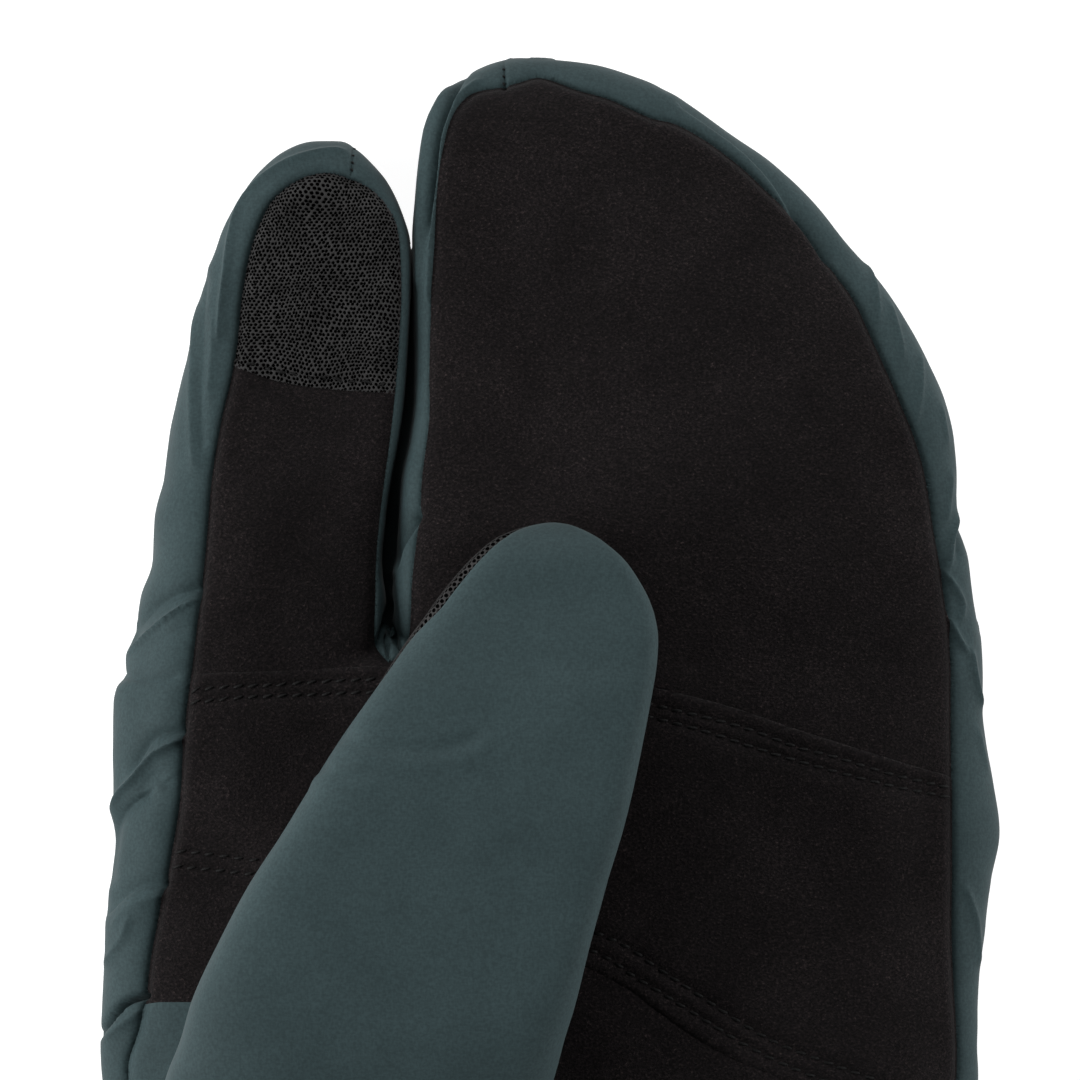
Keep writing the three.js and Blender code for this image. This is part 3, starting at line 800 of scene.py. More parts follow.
def refined(field, points, tris, wanted, longest):
    """Splits the wanted edges and settles the new points on the field's surface."""
    settled = len(points)
    points, tris = refine(points, tris, wanted, longest)
    points[settled:] = settle(field, points[settled:], 2)
    return points, tris


def compact(points, tris):
    used, back = np.unique(tris, return_inverse=True)
    return points[used], back.reshape(-1, 3)


def snapped(points, level, near):
    """Moves points that lie close to the zero line of a level on to that line."""
    value = level(points)
    close = np.abs(value) < near
    slope = slopes(level, points[close], 0.02)
    strength = np.maximum((slope ** 2).sum(axis=1), 0.2)
    points = points.copy()
    points[close] -= slope * (value[close] / strength)[:, None]
    return points


def clip(points, tris, value):
    """The part of a mesh where the value of its points isn't negative, cut along its zero line."""
    value = np.where(np.abs(value) < ON_LINE, 0, value)
    keep = value >= 0
    count = keep[tris].sum(axis=1)
    whole = tris[count == 3]
    fresh = {}
    added = []

    def crossing(inner, outer):
        """Index of the point where each edge crosses zero."""
        result = inner.copy()
        cut = value[inner] > 0
        keys = np.stack([inner[cut], outer[cut]], axis=1)
        pairs, back = np.unique(keys, axis=0, return_inverse=True)
        numbers = np.empty(len(pairs), int)
        for n, (i, j) in enumerate(map(tuple, pairs.tolist())):
            if (i, j) not in fresh:
                share = value[i] / (value[i] - value[j])
                fresh[i, j] = len(points) + len(added)
                added.append(points[i] + share * (points[j] - points[i]))
            numbers[n] = fresh[i, j]
        result[cut] = numbers[back.ravel()]
        return result

    made = [whole]
    for turn in range(3):
        a, b, c = tris[:, np.roll(np.arange(3), -turn)].T
        one = (count == 1) & keep[a]
        if one.any():
            made.append(np.stack([a[one], crossing(a[one], b[one]), crossing(a[one], c[one])], axis=1))
        two = (count == 2) & ~keep[c]
        if two.any():
            after_b = crossing(b[two], c[two])
            after_a = crossing(a[two], c[two])
            made.append(np.stack([a[two], b[two], after_b], axis=1))
            made.append(np.stack([a[two], after_b, after_a], axis=1))
    joined = np.concatenate(made)
    distinct = (joined != np.roll(joined, 1, axis=1)).all(axis=1)
    everything = np.concatenate([points, np.array(added).reshape(-1, 3)])
    return compact(everything, joined[distinct])


def divide(mesh, level):
    """Splits a mesh along the zero line of a level into its positive and negative parts."""
    points, tris = mesh
    value = level(points)
    return clip(points, tris, value), clip(points, tris, -value)


def rim_edges(tris):
    """Directed edges that belong to one triangle only."""
    edges = np.concatenate([tris[:, [0, 1]], tris[:, [1, 2]], tris[:, [2, 0]]])
    key = np.sort(edges, axis=1)
    _, first, count = np.unique(key, axis=0, return_index=True, return_counts=True)
    return edges[first[count == 1]]


def closed_between(outer, inner, tris):
    """One closed mesh from an outer and an inner layer with the same triangles."""
    size = len(outer)
    rim = rim_edges(tris)
    walls = np.concatenate([
        np.stack([rim[:, 1], rim[:, 0], rim[:, 0] + size], axis=1),
        np.stack([rim[:, 1], rim[:, 0] + size, rim[:, 1] + size], axis=1),
    ])
    return np.concatenate([outer, inner]), np.concatenate([tris, tris[:, ::-1] + size, walls])


# The levels that divide the mitten's surface into its pieces
def palm_level(points):
    on_top = points[:, 2] - middle_height(points[:, 1]) - PALM_RIM_HEIGHT
    return np.minimum(inside_distance(palm_outline, *upright(points)), on_top)


def wrist_level(points):
    return points[:, 1] - WRIST_Y


def root_level(points):
    return inside_distance(root_outline, points[:, 0], points[:, 1])


def gusset_level(points):
    return np.minimum(inside_distance(gusset_outline, *upright(points)), points[:, 2] - GUSSET_FLOOR_Z)


def patch_level(points):
    return inside_distance(patch_outline, *upright(points))


def index_patch_level(points):
    return inside_distance(index_patch_outline, *upright(points))


def fold_relief(x, y):
    total = np.zeros(x.shape)
    for (depth, left, right, taper, _), line in zip(FOLDS, fold_lines):
        reach = FOLD_REACH * max(left, right)
        low = line.min(axis=0) - reach
        high = line.max(axis=0) + reach
        near = (x > low[0]) & (x < high[0]) & (y > low[1]) & (y < high[1])
        if near.any():
            distance = line_distance(line, x[near], y[near])
            width = np.where(distance > 0, left, right)
            faded = away_from_ends(line, x[near], y[near], taper)
            total[near] -= depth * faded * np.exp(-np.abs(distance / width) ** FOLD_POWER)
    return total


def hand_relief(points):
    """How far the hand's cloth stands out of its plain form."""
    z = points[:, 2]
    x, y = upright(points)
    inside = inside_distance(palm_outline, x, y)
    outside = np.maximum(-inside, 0)
    above = z - middle_height(y)
    upper = smooth_step(above, *UPPER_ABOVE)
    top = smooth_step(above, *TOP_ABOVE)
    past_fork = smooth_step(y, *PAST_FORK_Y)
    in_slit = past_fork * bell(x - SLIT_MIDDLE_X, BARE_SLIT_WIDTH)
    beside_slit = past_fork * smooth_step(x, *SLIT_RIGHT_X) * smooth_step(x, *SLIT_LEFT_X)
    pulled = np.where(inside > 0, bell(inside, SEAM_INNER_WIDTH), np.exp(-outside / SEAM_OUTER_WIDTH))
    seam = -SEAM_DEPTH * pulled
    seam *= smooth_step(y, *SEAM_START_Y) * (1 - SEAM_EASED * beside_slit)
    puff = BORDER_PUFF * (1 - bell(outside, PUFF_START)) * bell(outside, PUFF_WIDTH) * (1 - in_slit)
    suede = smooth_step(inside, *SUEDE_INSIDE)
    palm = suede * swells(points, PALM_WAVES)
    lifted = smooth_step(z, *LIFTED_Z)
    sides = (1 - suede) * lifted * swells(points, SIDE_WAVES)
    sides = sides * (1 - SIDES_EASED * smooth_step(y, *CALM_SIDES_Y)) + SIDE_SWELL * (1 - suede) * lifted
    sides = sides * (1 - in_slit)
    folds = fold_relief(x, y) * smooth_step(inside, *FOLD_INSIDE)
    low = np.where(folds < 0, *LOW_FOLD_SHARES) * smooth_step(z, *FOLD_Z)
    folds *= low + np.where(folds < 0, *TOP_FOLD_SHARES) * smooth_step(above, *FOLD_ABOVE)
    for line in joint_lines:
        folds -= JOINT_DEPTH * bell(line_distance(line, x, y), JOINT_WIDTH) * top
    return upper * (seam + palm) + top * puff + sides + folds


def cuff_relief(points):
    """Gathers at the wrist, a hem at the mouth and soft wrinkles between."""
    _, y, z = points.T
    gathers = bell(y - WRIST_Y, GATHER_REACH) * swells(points, WRIST_GATHERS)
    wrinkles = swells(points, CUFF_WAVES)
    soft = smooth_step(z, *CUFF_LIFTED_Z) * (gathers + wrinkles) * smooth_step(y, *CUFF_WRINKLED_Y)
    hem = HEM_RISE * smooth_step(y, *HEM_Y)
    groove = -HEM_GROOVE_DEPTH * bell(y - HEM_GROOVE_Y, HEM_GROOVE_WIDTH)
    seam = -WRIST_SEAM_DEPTH * bell(y - WRIST_Y, WRIST_SEAM_WIDTH)
    return soft + (hem + groove) * smooth_step(z, *HEM_Z) + seam


def all_relief(points):
    share = smooth_step(points[:, 1], *HAND_START_Y)
    return hand_relief(points) * share + cuff_relief(points) * (1 - share)


def wall_thickness(normals):
    up = normals[:, 2]
    return SIDE_WALL + np.where(up > 0, PALM_WALL - SIDE_WALL, SIDE_WALL - BACK_WALL) * up


# Blender objects
def mesh_object(name, points, tris, material):
    mesh = bpy.data.meshes.new(name)
    placed = points * MM
    placed[:, 1] += MOUTH_Y
    mesh.from_pydata(placed.tolist(), [], tris.tolist())
    mesh.validate()
    mesh.polygons.foreach_set("use_smooth", np.full(len(mesh.polygons), True))
    mesh.materials.append(material)
    made = bpy.data.objects.new(name, mesh)
    bpy.context.scene.collection.objects.link(made)
    return made


def thin_inner_layer(made, outer_count, rim, share):
    """Gives the hidden inner layer fewer triangles than the outer one."""
    group = made.vertex_groups.new(name="inner")
    size = len(made.data.vertices)
    free = np.ones(size, bool)
    free[:outer_count] = False
    free[rim] = False
    group.add(np.flatnonzero(free).tolist(), 1.0, "REPLACE")
    modifier = made.modifiers.new("Thin", "DECIMATE")
    modifier.ratio = (1 + share) / 2
    modifier.vertex_group = "inner"
    with bpy.context.temp_override(object=made):
        bpy.ops.object.modifier_apply(modifier=modifier.name)
    made.vertex_groups.clear()


def shell_piece(name, mesh, field, relief, thickness, material):
    """A padded panel: its outer layer follows the relief, and its inner one the plain form."""
    points, tris = mesh
    normals = outward(field, points)
    outer = points + normals * relief(points)[:, None]
    inner = points - normals * thickness(normals)[:, None]
    all_points, all_tris = closed_between(outer, inner, tris)
    made = mesh_object(name, all_points, all_tris, material)
    thin_inner_layer(made, len(outer), np.unique(rim_edges(tris)) + len(outer), SHELL_INNER_SHARE)
    made.data.set_sharp_from_angle(angle=SHARP_ANGLE)
    return made


# Materials
class Shading:
    """A material in the making: its shader, and textures that follow the object's own place."""

    def __init__(self, name):
        self.material = bpy.data.materials.new(name)
        self.material.use_nodes = True
        self.shader = self.material.node_tree.nodes["Principled BSDF"]
        self.place = self.add("TexCoord", "Object", {})

    def add(self, kind, output, inputs, **settings):
        """The output of a new node, with each input linked, or set where it is a plain value."""
        node = self.material.node_tree.nodes.new("ShaderNode" + kind)
        for name, value in settings.items():
            setattr(node, name, value)
        self.feed(node, inputs)
        return node.outputs[output]

    def feed(self, node, inputs):
        for name, value in inputs.items():
            if isinstance(value, bpy.types.NodeSocket):
                self.material.node_tree.links.new(value, node.inputs[name])
            else:
                node.inputs[name].default_value = value

    def noise(self, scale, detail, rough=0.5, stretch=None):
        place = self.place
        if stretch:
            place = self.add("Mapping", "Vector", {"Scale": stretch, "Vector": place})
        return self.add("TexNoise", "Fac", {
            "Scale": scale, "Detail": detail, "Roughness": rough, "Vector": place})

    def ramp(self, value, stops):
        """Colours, or greys given as one number, by a value."""
        colour = self.add("ValToRGB", "Color", {"Fac": value})
        elements = colour.node.color_ramp.elements
        while len(elements) < len(stops):
            elements.new(0.5)
        for element, (position, tone) in zip(elements, stops):
            element.position = position
            element.color = (*np.broadcast_to(tone, 3), 1)
        return colour

    def multiplied(self, first, second):
        return self.add("Mix", "Result", {"Factor": 1, "A": first, "B": second},
                        data_type="RGBA", blend_type="MULTIPLY")

    def mean(self, first, second):
        total = self.add("Math", "Value", {0: first, 1: second}, operation="ADD")
        return self.add("Math", "Value", {0: total, 1: 0.5}, operation="MULTIPLY")

    def made(self, height, bump, inputs):
        """The material, with a bump of some metres by a height, and plain numbers on the shader's sockets."""
        normal = self.add("Bump", "Normal", {"Strength": 1, "Distance": bump, "Height": height})
        self.feed(self.shader, {"Normal": normal, **inputs})
        return self.material


def teal_nylon():
    """Matt dark teal cloth with a fine plain weave and a soft mottle."""
    cloth = Shading("teal_nylon")
    mottle = cloth.noise(90, 4, 0.6)
    colour = cloth.ramp(mottle, [(0.3, (0.0228, 0.0384, 0.0412)), (0.7, (0.0277, 0.0458, 0.049))])
    warp = cloth.noise(1, 2, stretch=(3000, 1500, 2200))
    weft = cloth.noise(1, 2, stretch=(1500, 3000, 2200))
    weave = cloth.mean(warp, weft)
    grain = cloth.ramp(weave, [(0.38, 0.84), (0.62, 1.16)])
    return cloth.made(weave, 0.00004, {
        "Base Color": cloth.multiplied(colour, grain), "Roughness": 0.75, "Specular IOR Level": 0.12,
        "Sheen Weight": 0.03, "Sheen Roughness": 0.4})


def black_suede():
    """Near-black micro suede with a short nap and stray light fibres."""
    cloth = Shading("black_suede")
    cloud = cloth.noise(55, 4, 0.6)
    colour = cloth.ramp(cloud, [(0.3, (0.0043, 0.0034, 0.0036)), (0.72, (0.0088, 0.0071, 0.0074))])
    nap = cloth.noise(1, 2, 0.7, (2300, 2900, 2600))
    fibre = cloth.ramp(nap, [(0.36, 0.4), (0.55, 1.1), (0.66, (2.1, 2, 1.95)), (0.78, (6, 5.6, 5.2))])
    return cloth.made(nap, 0.00018, {
        "Base Color": cloth.multiplied(colour, fibre), "Roughness": 0.95, "Specular IOR Level": 0.08,
        "Sheen Weight": 0.03, "Sheen Roughness": 0.5})


def pebbled_leather():
    """Grey-black synthetic leather, with painted shade: near-black colour in the mesh's small pits."""
    leather = Shading("pebbled_leather")
    pit_shade = leather.add("Attribute", "Fac", {}, attribute_name="pit_shade")
    # Painted shade: the colour goes to near-black deep in each pit, where the pits' shade falls.
    colour = leather.ramp(pit_shade, [(0.14, (0.032, 0.0315, 0.0315)), (0.5, 0.0006)])
    shade = leather.ramp(leather.noise(260, 4, 0.6), [(0.3, 0.7), (0.7, 1.3)])
    return leather.made(leather.noise(4200, 2), 0.00004, {
        "Base Color": leather.multiplied(colour, shade), "Roughness": 0.7, "Specular IOR Level": 0})


def black_thread():
    yarn = Shading("black_thread")
    twist = yarn.noise(5200, 1)
    colour = yarn.ramp(twist, [(0.35, 0.0025), (0.65, 0.008)])
    return yarn.made(twist, 0.00006, {"Base Color": colour, "Roughness": 0.6, "Specular IOR Level": 0.1})


def pale_floor():
    paper = Shading("pale_floor")
    colour = paper.ramp(paper.noise(3, 2), [(0.3, 0.42), (0.7, 0.44)])
    paper.feed(paper.shader, {
        "Base Color": colour, "Roughness": 0.9, "Emission Color": (1, 1, 1, 1), "Emission Strength": 0.85})
    return paper.material


teal = teal_nylon()
suede = black_suede()
pebble = pebbled_leather()
thread = black_thread()


# The hand, from one surface that is divided along its seams. Each pass splits edges: how far from the palm's
# seam, from how deep a fold or row of stitches, over what length, and from how far above the middle height.
HAND_PASSES = ((14, 0.03, 0.8, -1), (1.4, 0.15, 0.45, 0), (0.7, 0.4, 0.28, 1), (0, 1, 0.15, 1))
REFINED_FROM = 108


def hand_surface():
    points, tris = surface(spread_field, *HAND_BOX, GRID_STEP)
    for border, detail, longest, lowest in HAND_PASSES:
        x, y, z = points.T
        x = closed_slit(x, y, z)
        seam = inside_distance(palm_outline, x, y)
        shown = (z > middle_height(y) + lowest) & (y > REFINED_FROM)
        wanted = (seam < min(border, 3)) & (seam > -border)
        wanted |= (np.abs(fold_relief(x, y)) > detail) | (quilting(x, y) > detail)
        points, tris = refined(spread_field, points, tris, wanted & shown, longest)
    points[:, 0] = closed_slit(*points.T)
    return points, tris


def hand_pieces():
    mesh = hand_surface()
    for level in (wrist_level, palm_level, root_level, gusset_level):
        mesh = snapped(mesh[0], level, SNAP_REACH), mesh[1]
    above, cuff = divide(mesh, wrist_level)
    cuff = clip(*cuff, cuff[0][:, 1])
    palm, rest = divide(above, palm_level)
    root, panel = divide(palm, root_level)
    gusset, back = divide(rest, gusset_level)
    return {"cuff": cuff, "root": root, "panel": panel, "gusset": gusset, "back": back}


def outside_thumb(mesh, depth):
    """Cuts the opening into the thumb out of a panel."""
    return clip(*mesh, thumb_field(*mesh[0].T) + depth)


def pits(u, v):
    """How deep in a pit each place of a surface lies, from 0 to 1, with the pits in wavy rows."""
    row_gap = PIT_GAP * math.sqrt(0.75)
    row = np.floor(v / row_gap)
    nearest = np.full(len(u), np.inf)
    for step in (-1, 0, 1, 2):
        r = row + step
        shift = np.where(r % 2 == 0, 0, PIT_GAP / 2)
        column = np.round((u - shift) / PIT_GAP)
        for side in (-1, 0, 1):
            c = column + side
            angle = np.sin(c * SCATTER_SEED[0] + r * SCATTER_SEED[1]) * SCATTER_SEED[2]
            centre_u = c * PIT_GAP + shift + PIT_SCATTER * PIT_GAP * np.cos(angle)
            centre_v = r * row_gap + PIT_SCATTER * PIT_GAP * np.sin(angle)
            nearest = np.minimum(nearest, np.hypot(u - centre_u, v - centre_v))
    return smooth_step(nearest, *(PIT_RADIUS * share for share in PIT_WALL))


def index_pits(points):
    x, y, _ = points.T
    across, along = (swells(points, layers) for layers in PIT_ROW_WAVES)
    return pits(x + across, y + along)


def patch_piece(name, mesh, field, level, relief, seam, material, pitted=None, shown=None, edges=(),
                rise=SEAM_RISE, pit_depth=PIT_DEPTH):
    """A thin patch with rounded free edges, sewn down where it meets the seam."""
    points, tris = clip(*mesh, level(mesh[0]))
    for longest in edges:
        points, tris = refined(field, points, tris, shown(points) > 0, longest)
    normals = outward(field, points)
    edge = np.clip(level(points) / PATCH_ROUNDING, 0, 1)
    rounded = np.sqrt(1 - (1 - edge) ** 2)
    height = PATCH_THICKNESS * (PATCH_EDGE_SHARE + (1 - PATCH_EDGE_SHARE) * rounded)
    height *= PATCH_SEWN_SHARE + (1 - PATCH_SEWN_SHARE) * smooth_step(seam(points), SEAM_RISE_START, rise)
    base = relief(points)
    depth = pitted(points) * shown(points) if pitted else np.zeros(len(points))
    outer = points + normals * (base + height - pit_depth * depth)[:, None]
    inner = points + normals * (base - PATCH_UNDERSIDE)[:, None]
    made = mesh_object(name, *closed_between(outer, inner, tris), material)
    # The pit depth is stored for the leather's painted shade in the pits.
    if pitted:
        pit_shade = made.data.attributes.new("pit_shade", "FLOAT", "POINT")
        pit_shade.data.foreach_set("value", np.concatenate([depth, np.zeros(len(depth))]))
    thin_inner_layer(made, len(outer), np.unique(rim_edges(tris)) + len(outer), PATCH_INNER_SHARE)
    made.data.set_sharp_from_angle(angle=SHARP_ANGLE)
    return made


def palm_seam_inside(points):
    return inside_distance(palm_outline, points[:, 0], points[:, 1])


def quilted_relief(points):
    return all_relief(points) - patch_quilting(points)


def panel_relief(points):
    """The suede panel lies lower where a patch covers it."""
    covered = np.maximum(patch_level(points), index_patch_level(points))
    return quilted_relief(points) - PATCH_BED * smooth_step(covered, *PATCH_BED_INSIDE)


# Rows of stitches along the palm patch, two at its upper edge and two at its lower edge
STITCH_ROWS = [
    [(-55.4, 177.3), (-51, 178), (-43, 178.4), (-37, 178.8), (-29.5, 179.2), (-18, 179.4), (-4, 178.9),
     (8, 177.2), (19, 174.6), (29.6, 171.9), (37.5, 169), (43.9, 167.3), (52.6, 164.6), (61.2, 162.6)],
    [(-55.4, 175.6), (-47.4, 176.5), (-43, 176.7), (-34.7, 177), (-28.6, 177.3), (-18, 177.4), (-4, 176.8),
     (8, 175.2), (17.4, 173), (24.5, 171.1), (33.5, 168.1), (43.6, 165.2), (52, 163), (60.8, 161.2)],
    [(-57.6, 152.9), (-52.7, 152.6), (-44.6, 151.6), (-32, 150.4), (-16, 147.6), (-2, 143.8), (10.2, 139.4),
     (16.4, 135.3), (22.1, 131.6), (28.6, 127.3), (34.7, 123.8), (43.4, 120.4), (52, 117.2), (62, 113)],
    [(-58.2, 150.6), (-52.1, 150.2), (-46.1, 149.6), (-32, 148.4), (-16, 145.4), (-2, 141.4), (8.1, 137.2),
     (12.5, 134.3), (19.5, 130), (24.2, 127), (29.6, 123.7), (35.7, 120.6), (43, 117.6), (62, 110)],
]
row_lines = [spline(row, closed=False) for row in STITCH_ROWS]
index_row = spline([(x, y + INDEX_ROW_INSET) for x, y in INDEX_PATCH_BOTTOM[1:-1]], closed=False)


def quilting(x, y):
    """How far the rows of stitches pull the patches in."""
    total = np.zeros(x.shape)
    for line in row_lines:
        total += QUILTING_DEPTH * bell(line_distance(line, x, y), QUILTING_WIDTH)
    return total + QUILTING_DEPTH * bell(line_distance(index_row, x, y), INDEX_QUILTING_WIDTH)


def patch_quilting(points):
    x, y, _ = points.T
    return quilting(x, y) * smooth_step(palm_seam_inside(points), *QUILTED_INSIDE)


def stitches(name, lines, surface, material, tilt=STITCH_TILT, pitch=STITCH_PITCH, length=STITCH_LENGTH,
             thickness=STITCH_RADIUS):
    """Short threads along lines on plan, each laid on the surface below it."""
    tree = BVHTree.FromObject(surface, bpy.context.evaluated_depsgraph_get())
    points, tris = [], []
    for line in lines:
        lengths = np.concatenate([[0], np.cumsum(np.linalg.norm(np.diff(line, axis=0), axis=1))])
        for place in np.arange(pitch / 2, lengths[-1], pitch):
            x, y = (np.interp(place, lengths, line[:, i]) for i in (0, 1))
            ahead = [np.interp(place + LOOK_AHEAD, lengths, line[:, i]) for i in (0, 1)]
            angle = math.atan2(ahead[1] - y, ahead[0] - x) + tilt
            above = Vector((x * MM, y * MM + MOUTH_Y, LOOK_DOWN_FROM * MM))
            hit, normal, _, _ = tree.ray_cast(above, Vector((0, 0, -1)))
            if hit is None:
                continue
            normal = np.array(normal)
            along = np.array([math.cos(angle), math.sin(angle), 0])
            along -= normal * (along @ normal)
            along /= np.linalg.norm(along)
            side = np.cross(normal, along)
            centre = np.array([x, y, hit.z / MM])
            start = len(points)
            for ring in range(THREAD_RINGS):
                u = ring / (THREAD_RINGS - 1) * 2 - 1
                radius = thickness * math.sqrt(max(1 - u ** 4, THREAD_TIP))
                dip = -THREAD_DIP * thickness * u * u
                for k in range(THREAD_SIDES):
                    turn = 2 * math.pi * k / THREAD_SIDES
                    offset = along * u * length / 2 + normal * (dip + THREAD_LIFT + radius * math.sin(turn))
                    points.append(centre + offset + side * radius * math.cos(turn))
            for ring in range(THREAD_RINGS - 1):
                for k in range(THREAD_SIDES):
                    a = start + ring * THREAD_SIDES + k
                    b = start + ring * THREAD_SIDES + (k + 1) % THREAD_SIDES
                    tris += [(a, b, b + THREAD_SIDES), (a, b + THREAD_SIDES, a + THREAD_SIDES)]
            for k in range(1, THREAD_SIDES - 1):
                last = start + (THREAD_RINGS - 1) * THREAD_SIDES
                tris += [(start, start + k + 1, start + k), (last, last + k, last + k + 1)]
    return mesh_object(name, np.array(points), np.array(tris), material)


# The thumb, from its own surface
def thumb_seam_height(x, y):
    """Height of the seam between the thumb's teal back and its suede side, which rises at the tip."""
    low = 44.5 - 0.07 * (x + 8) - 0.105 * (y - 165)
    high = read(THUMB, "mid", y) + TIP_SEAM_SHARE * half_height(THUMB_SHAPE, y)
    return low + (high - low) * smooth_step(y, *TIP_SEAM_Y) * smooth_step(x, *TIP_SEAM_X)


# Two shallow creases across the thumb's back, each with a swell below it: depth, width and points
THUMB_CREASES = [
    (0.6, 1, [(-33, 171.4), (-27, 170), (-20, 169.4), (-15, 169.7), (-9, 172)]),
    (-0.35, 1.8, [(-31, 168.4), (-22, 167.2), (-14, 167.6), (-8, 169.4)]),
    (0.36, 0.8, [(-38, 167.4), (-31, 165.9), (-24.6, 165.6)]),
    (-0.3, 1.3, [(-38, 165), (-31.4, 163.6), (-24.6, 163.4)]),
]
thumb_lines = [spline(crease[-1], closed=False) for crease in THUMB_CREASES]


def thumb_seam_level(points):
    x, y, z = points.T
    return np.maximum(z - thumb_seam_height(x, y), THUMB_SEAM_START_Y - y)


def thumb_relief(points):
    x, y, z = points.T
    height = z - thumb_seam_height(x, y)
    seam = -THUMB_SEAM_DEPTH * bell(height, THUMB_SEAM_WIDTH) * smooth_step(y, *THUMB_SEAM_Y)
    root = -THUMB_ROOT_DEPTH * bell(hand_field(x, y, z), THUMB_ROOT_WIDTH)
    soft = swells(points, THUMB_WAVES)
    creases = np.zeros(len(points))
    for (depth, width, _), line in zip(THUMB_CREASES, thumb_lines):
        creases -= depth * away_from_ends(line, x, y) * bell(line_distance(line, x, y), width)
    return seam + root + soft + creases * smooth_step(z, *CREASED_Z)


def thumb_thickness(normals):
    return np.full(len(normals), THUMB_WALL)


def thumb_pieces():
    points, tris = surface(thumb_field, *THUMB_BOX, THUMB_STEP)
    points = snapped(points, thumb_seam_level, THUMB_SNAP_REACH)
    outside = clip(points, tris, hand_field(*points.T) + THUMB_SUNK)
    back, under = divide(outside, thumb_seam_level)
    return {"back": back, "under": under}


def thumb_patch_level(points):
    return points[:, 1] - THUMB_PATCH_Y


def thumb_seam_below(points):
    return thumb_seam_height(points[:, 0], points[:, 1]) - points[:, 2]


def thumb_tip_shown(points):
    """1 on the upper part of the thumb's patch, and 0 on the part that faces the palm."""
    below = thumb_seam_below(points)
    return smooth_step(below, *PATCH_SHOWN_BELOW) * smooth_step(points[:, 1], *PATCH_SHOWN_Y)


def point_tree(points):
    tree = KDTree(len(points))
    for i, place in enumerate(points):
        tree.insert(place, i)
    tree.balance()
    return tree


def thumb_pits(points):
    """Pits packed in rows along the seam, over the thumb's rounded side."""
    free = thumb_tip_shown(points) > 0
    below = thumb_seam_below(points)
    points = points * THUMB_PIT_SQUEEZE
    tree = point_tree(points)
    centres = []
    for i in np.argsort(below):
        if free[i]:
            centres.append(points[i])
            free[[found[1] for found in tree.find_range(points[i], THUMB_PIT_GAP)]] = False
    centre_tree = point_tree(centres)
    nearest = np.array([centre_tree.find(place)[2] for place in points])
    return smooth_step(nearest, *(THUMB_PIT_RADIUS * share for share in PIT_WALL))


def finished(made, node):
    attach(made, "root")
    if node:
        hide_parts(node)
    return made


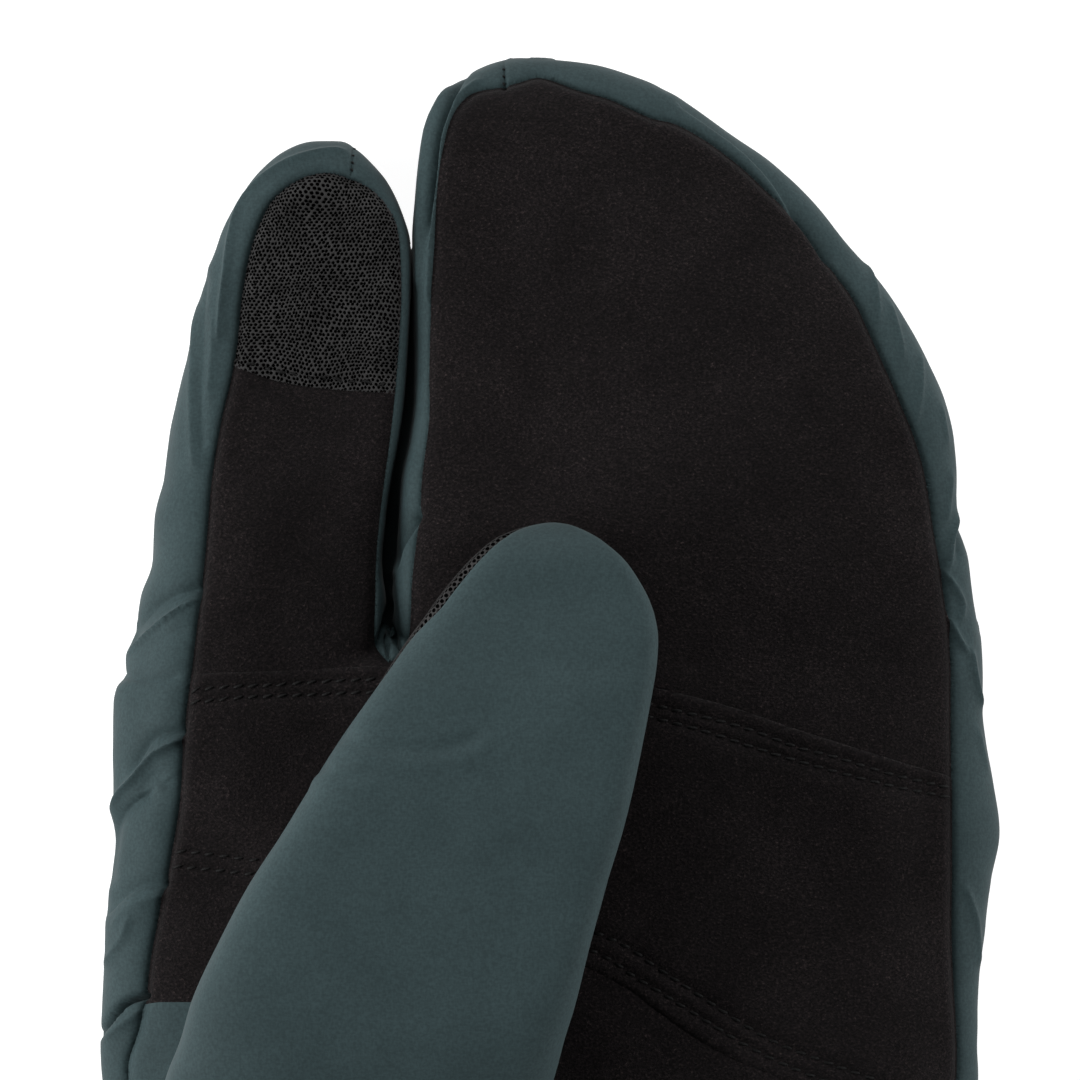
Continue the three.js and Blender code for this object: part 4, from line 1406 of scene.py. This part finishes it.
def build_mitten():
    hand = hand_pieces()
    thumb = thumb_pieces()
    panel = outside_thumb(hand["panel"], THUMB_OPENING)
    root = outside_thumb(hand["root"], THUMB_OPENING)
    of_hand = (hand_field, all_relief, wall_thickness)
    of_palm = (hand_field, panel_relief, wall_thickness)
    of_thumb = (thumb_field, thumb_relief, thumb_thickness)
    made = {}
    for node, mesh, form, material, slot in (
        ("back_shell", hand["back"], of_hand, teal, "teal_nylon"),
        ("finger_gusset", hand["gusset"], of_hand, teal, "teal_nylon"),
        ("thumb_gusset", root, of_hand, teal, "teal_nylon"),
        ("cuff", hand["cuff"], of_hand, teal, "teal_nylon"),
        ("palm_panel", panel, of_palm, suede, "black_suede"),
        ("thumb_back", thumb["back"], of_thumb, teal, "teal_nylon"),
        ("thumb_palm", thumb["under"], of_thumb, suede, "black_suede"),
    ):
        made[node] = finished(shell_piece(node + "_cloth", mesh, *form, material), node)
    tip_patch = patch_piece("thumb_tip_patch_leather", thumb["under"], thumb_field, thumb_patch_level,
                            thumb_relief, thumb_seam_below, pebble, thumb_pits, thumb_tip_shown,
                            THUMB_PIT_EDGES, THUMB_SEAM_RISE, THUMB_PIT_DEPTH)
    finished(tip_patch, "thumb_tip_patch")
    clear = outside_thumb(panel, PATCH_CLEARANCE)
    patch = patch_piece("palm_patch_suede", clear, hand_field, patch_level, quilted_relief,
                        palm_seam_inside, suede)
    finished(patch, "palm_patch")
    index_patch = patch_piece("index_tip_patch_leather", clear, hand_field, index_patch_level,
                              quilted_relief, palm_seam_inside, pebble, index_pits,
                              lambda points: np.ones(len(points)), PIT_EDGES)
    finished(index_patch, "index_tip_patch")
    finished(stitches("palm_patch_stitches", row_lines, patch, thread), None)
    index_sewn = stitches("index_patch_stitches", [index_row], index_patch, thread, tilt=0)
    finished(index_sewn, None)
    joint_sewn = stitches("gusset_joint_stitches", joint_rows, made["finger_gusset"], thread, tilt=0.5,
                          pitch=1.15, length=0.75, thickness=0.17)
    finished(joint_sewn, None)


def build_stage():
    size, height = FLOOR_HALF, -FLOOR_GAP
    mesh = bpy.data.meshes.new("floor")
    corners = [(-size, -size, height), (size, -size, height), (size, size, height), (-size, size, height)]
    mesh.from_pydata(corners, [], [(0, 1, 2, 3)])
    mesh.materials.append(pale_floor())
    floor = bpy.data.objects.new("floor", mesh)
    bpy.context.scene.collection.objects.link(floor)


def soft_light(name, place, power):
    light = bpy.data.lights.new(name, "AREA")
    light.shape = "SQUARE"
    light.size = LIGHT_SIZE
    light.energy = power
    made = bpy.data.objects.new(name, light)
    made.location = place
    made.rotation_euler = (Vector(LIGHT_AIM) - Vector(place)).to_track_quat("-Z", "Y").to_euler()
    bpy.context.scene.collection.objects.link(made)


def build_light():
    scene = bpy.context.scene
    scene.view_settings.view_transform = "Standard"
    scene.view_settings.look = "None"
    world = bpy.data.worlds.new("studio")
    world.use_nodes = True
    background = world.node_tree.nodes["Background"]
    background.inputs["Color"].default_value = (1, 1, 1, 1)
    background.inputs["Strength"].default_value = WORLD_STRENGTH
    scene.world = world
    for light in LIGHTS:
        soft_light(*light)


def build_camera():
    data = bpy.data.cameras.new("camera")
    data.sensor_width = SENSOR_WIDTH
    data.lens = data.sensor_width * (CAMERA_HEIGHT - FOCUS_HEIGHT) / SHOWN_WIDTH
    data.clip_start, data.clip_end = 0.05, 20
    camera = bpy.data.objects.new("camera", data)
    camera.location = (*VIEW_CENTRE, CAMERA_HEIGHT)
    bpy.context.scene.collection.objects.link(camera)
    bpy.context.scene.camera = camera


build_light()
build_camera()
build_stage()
build_mitten()
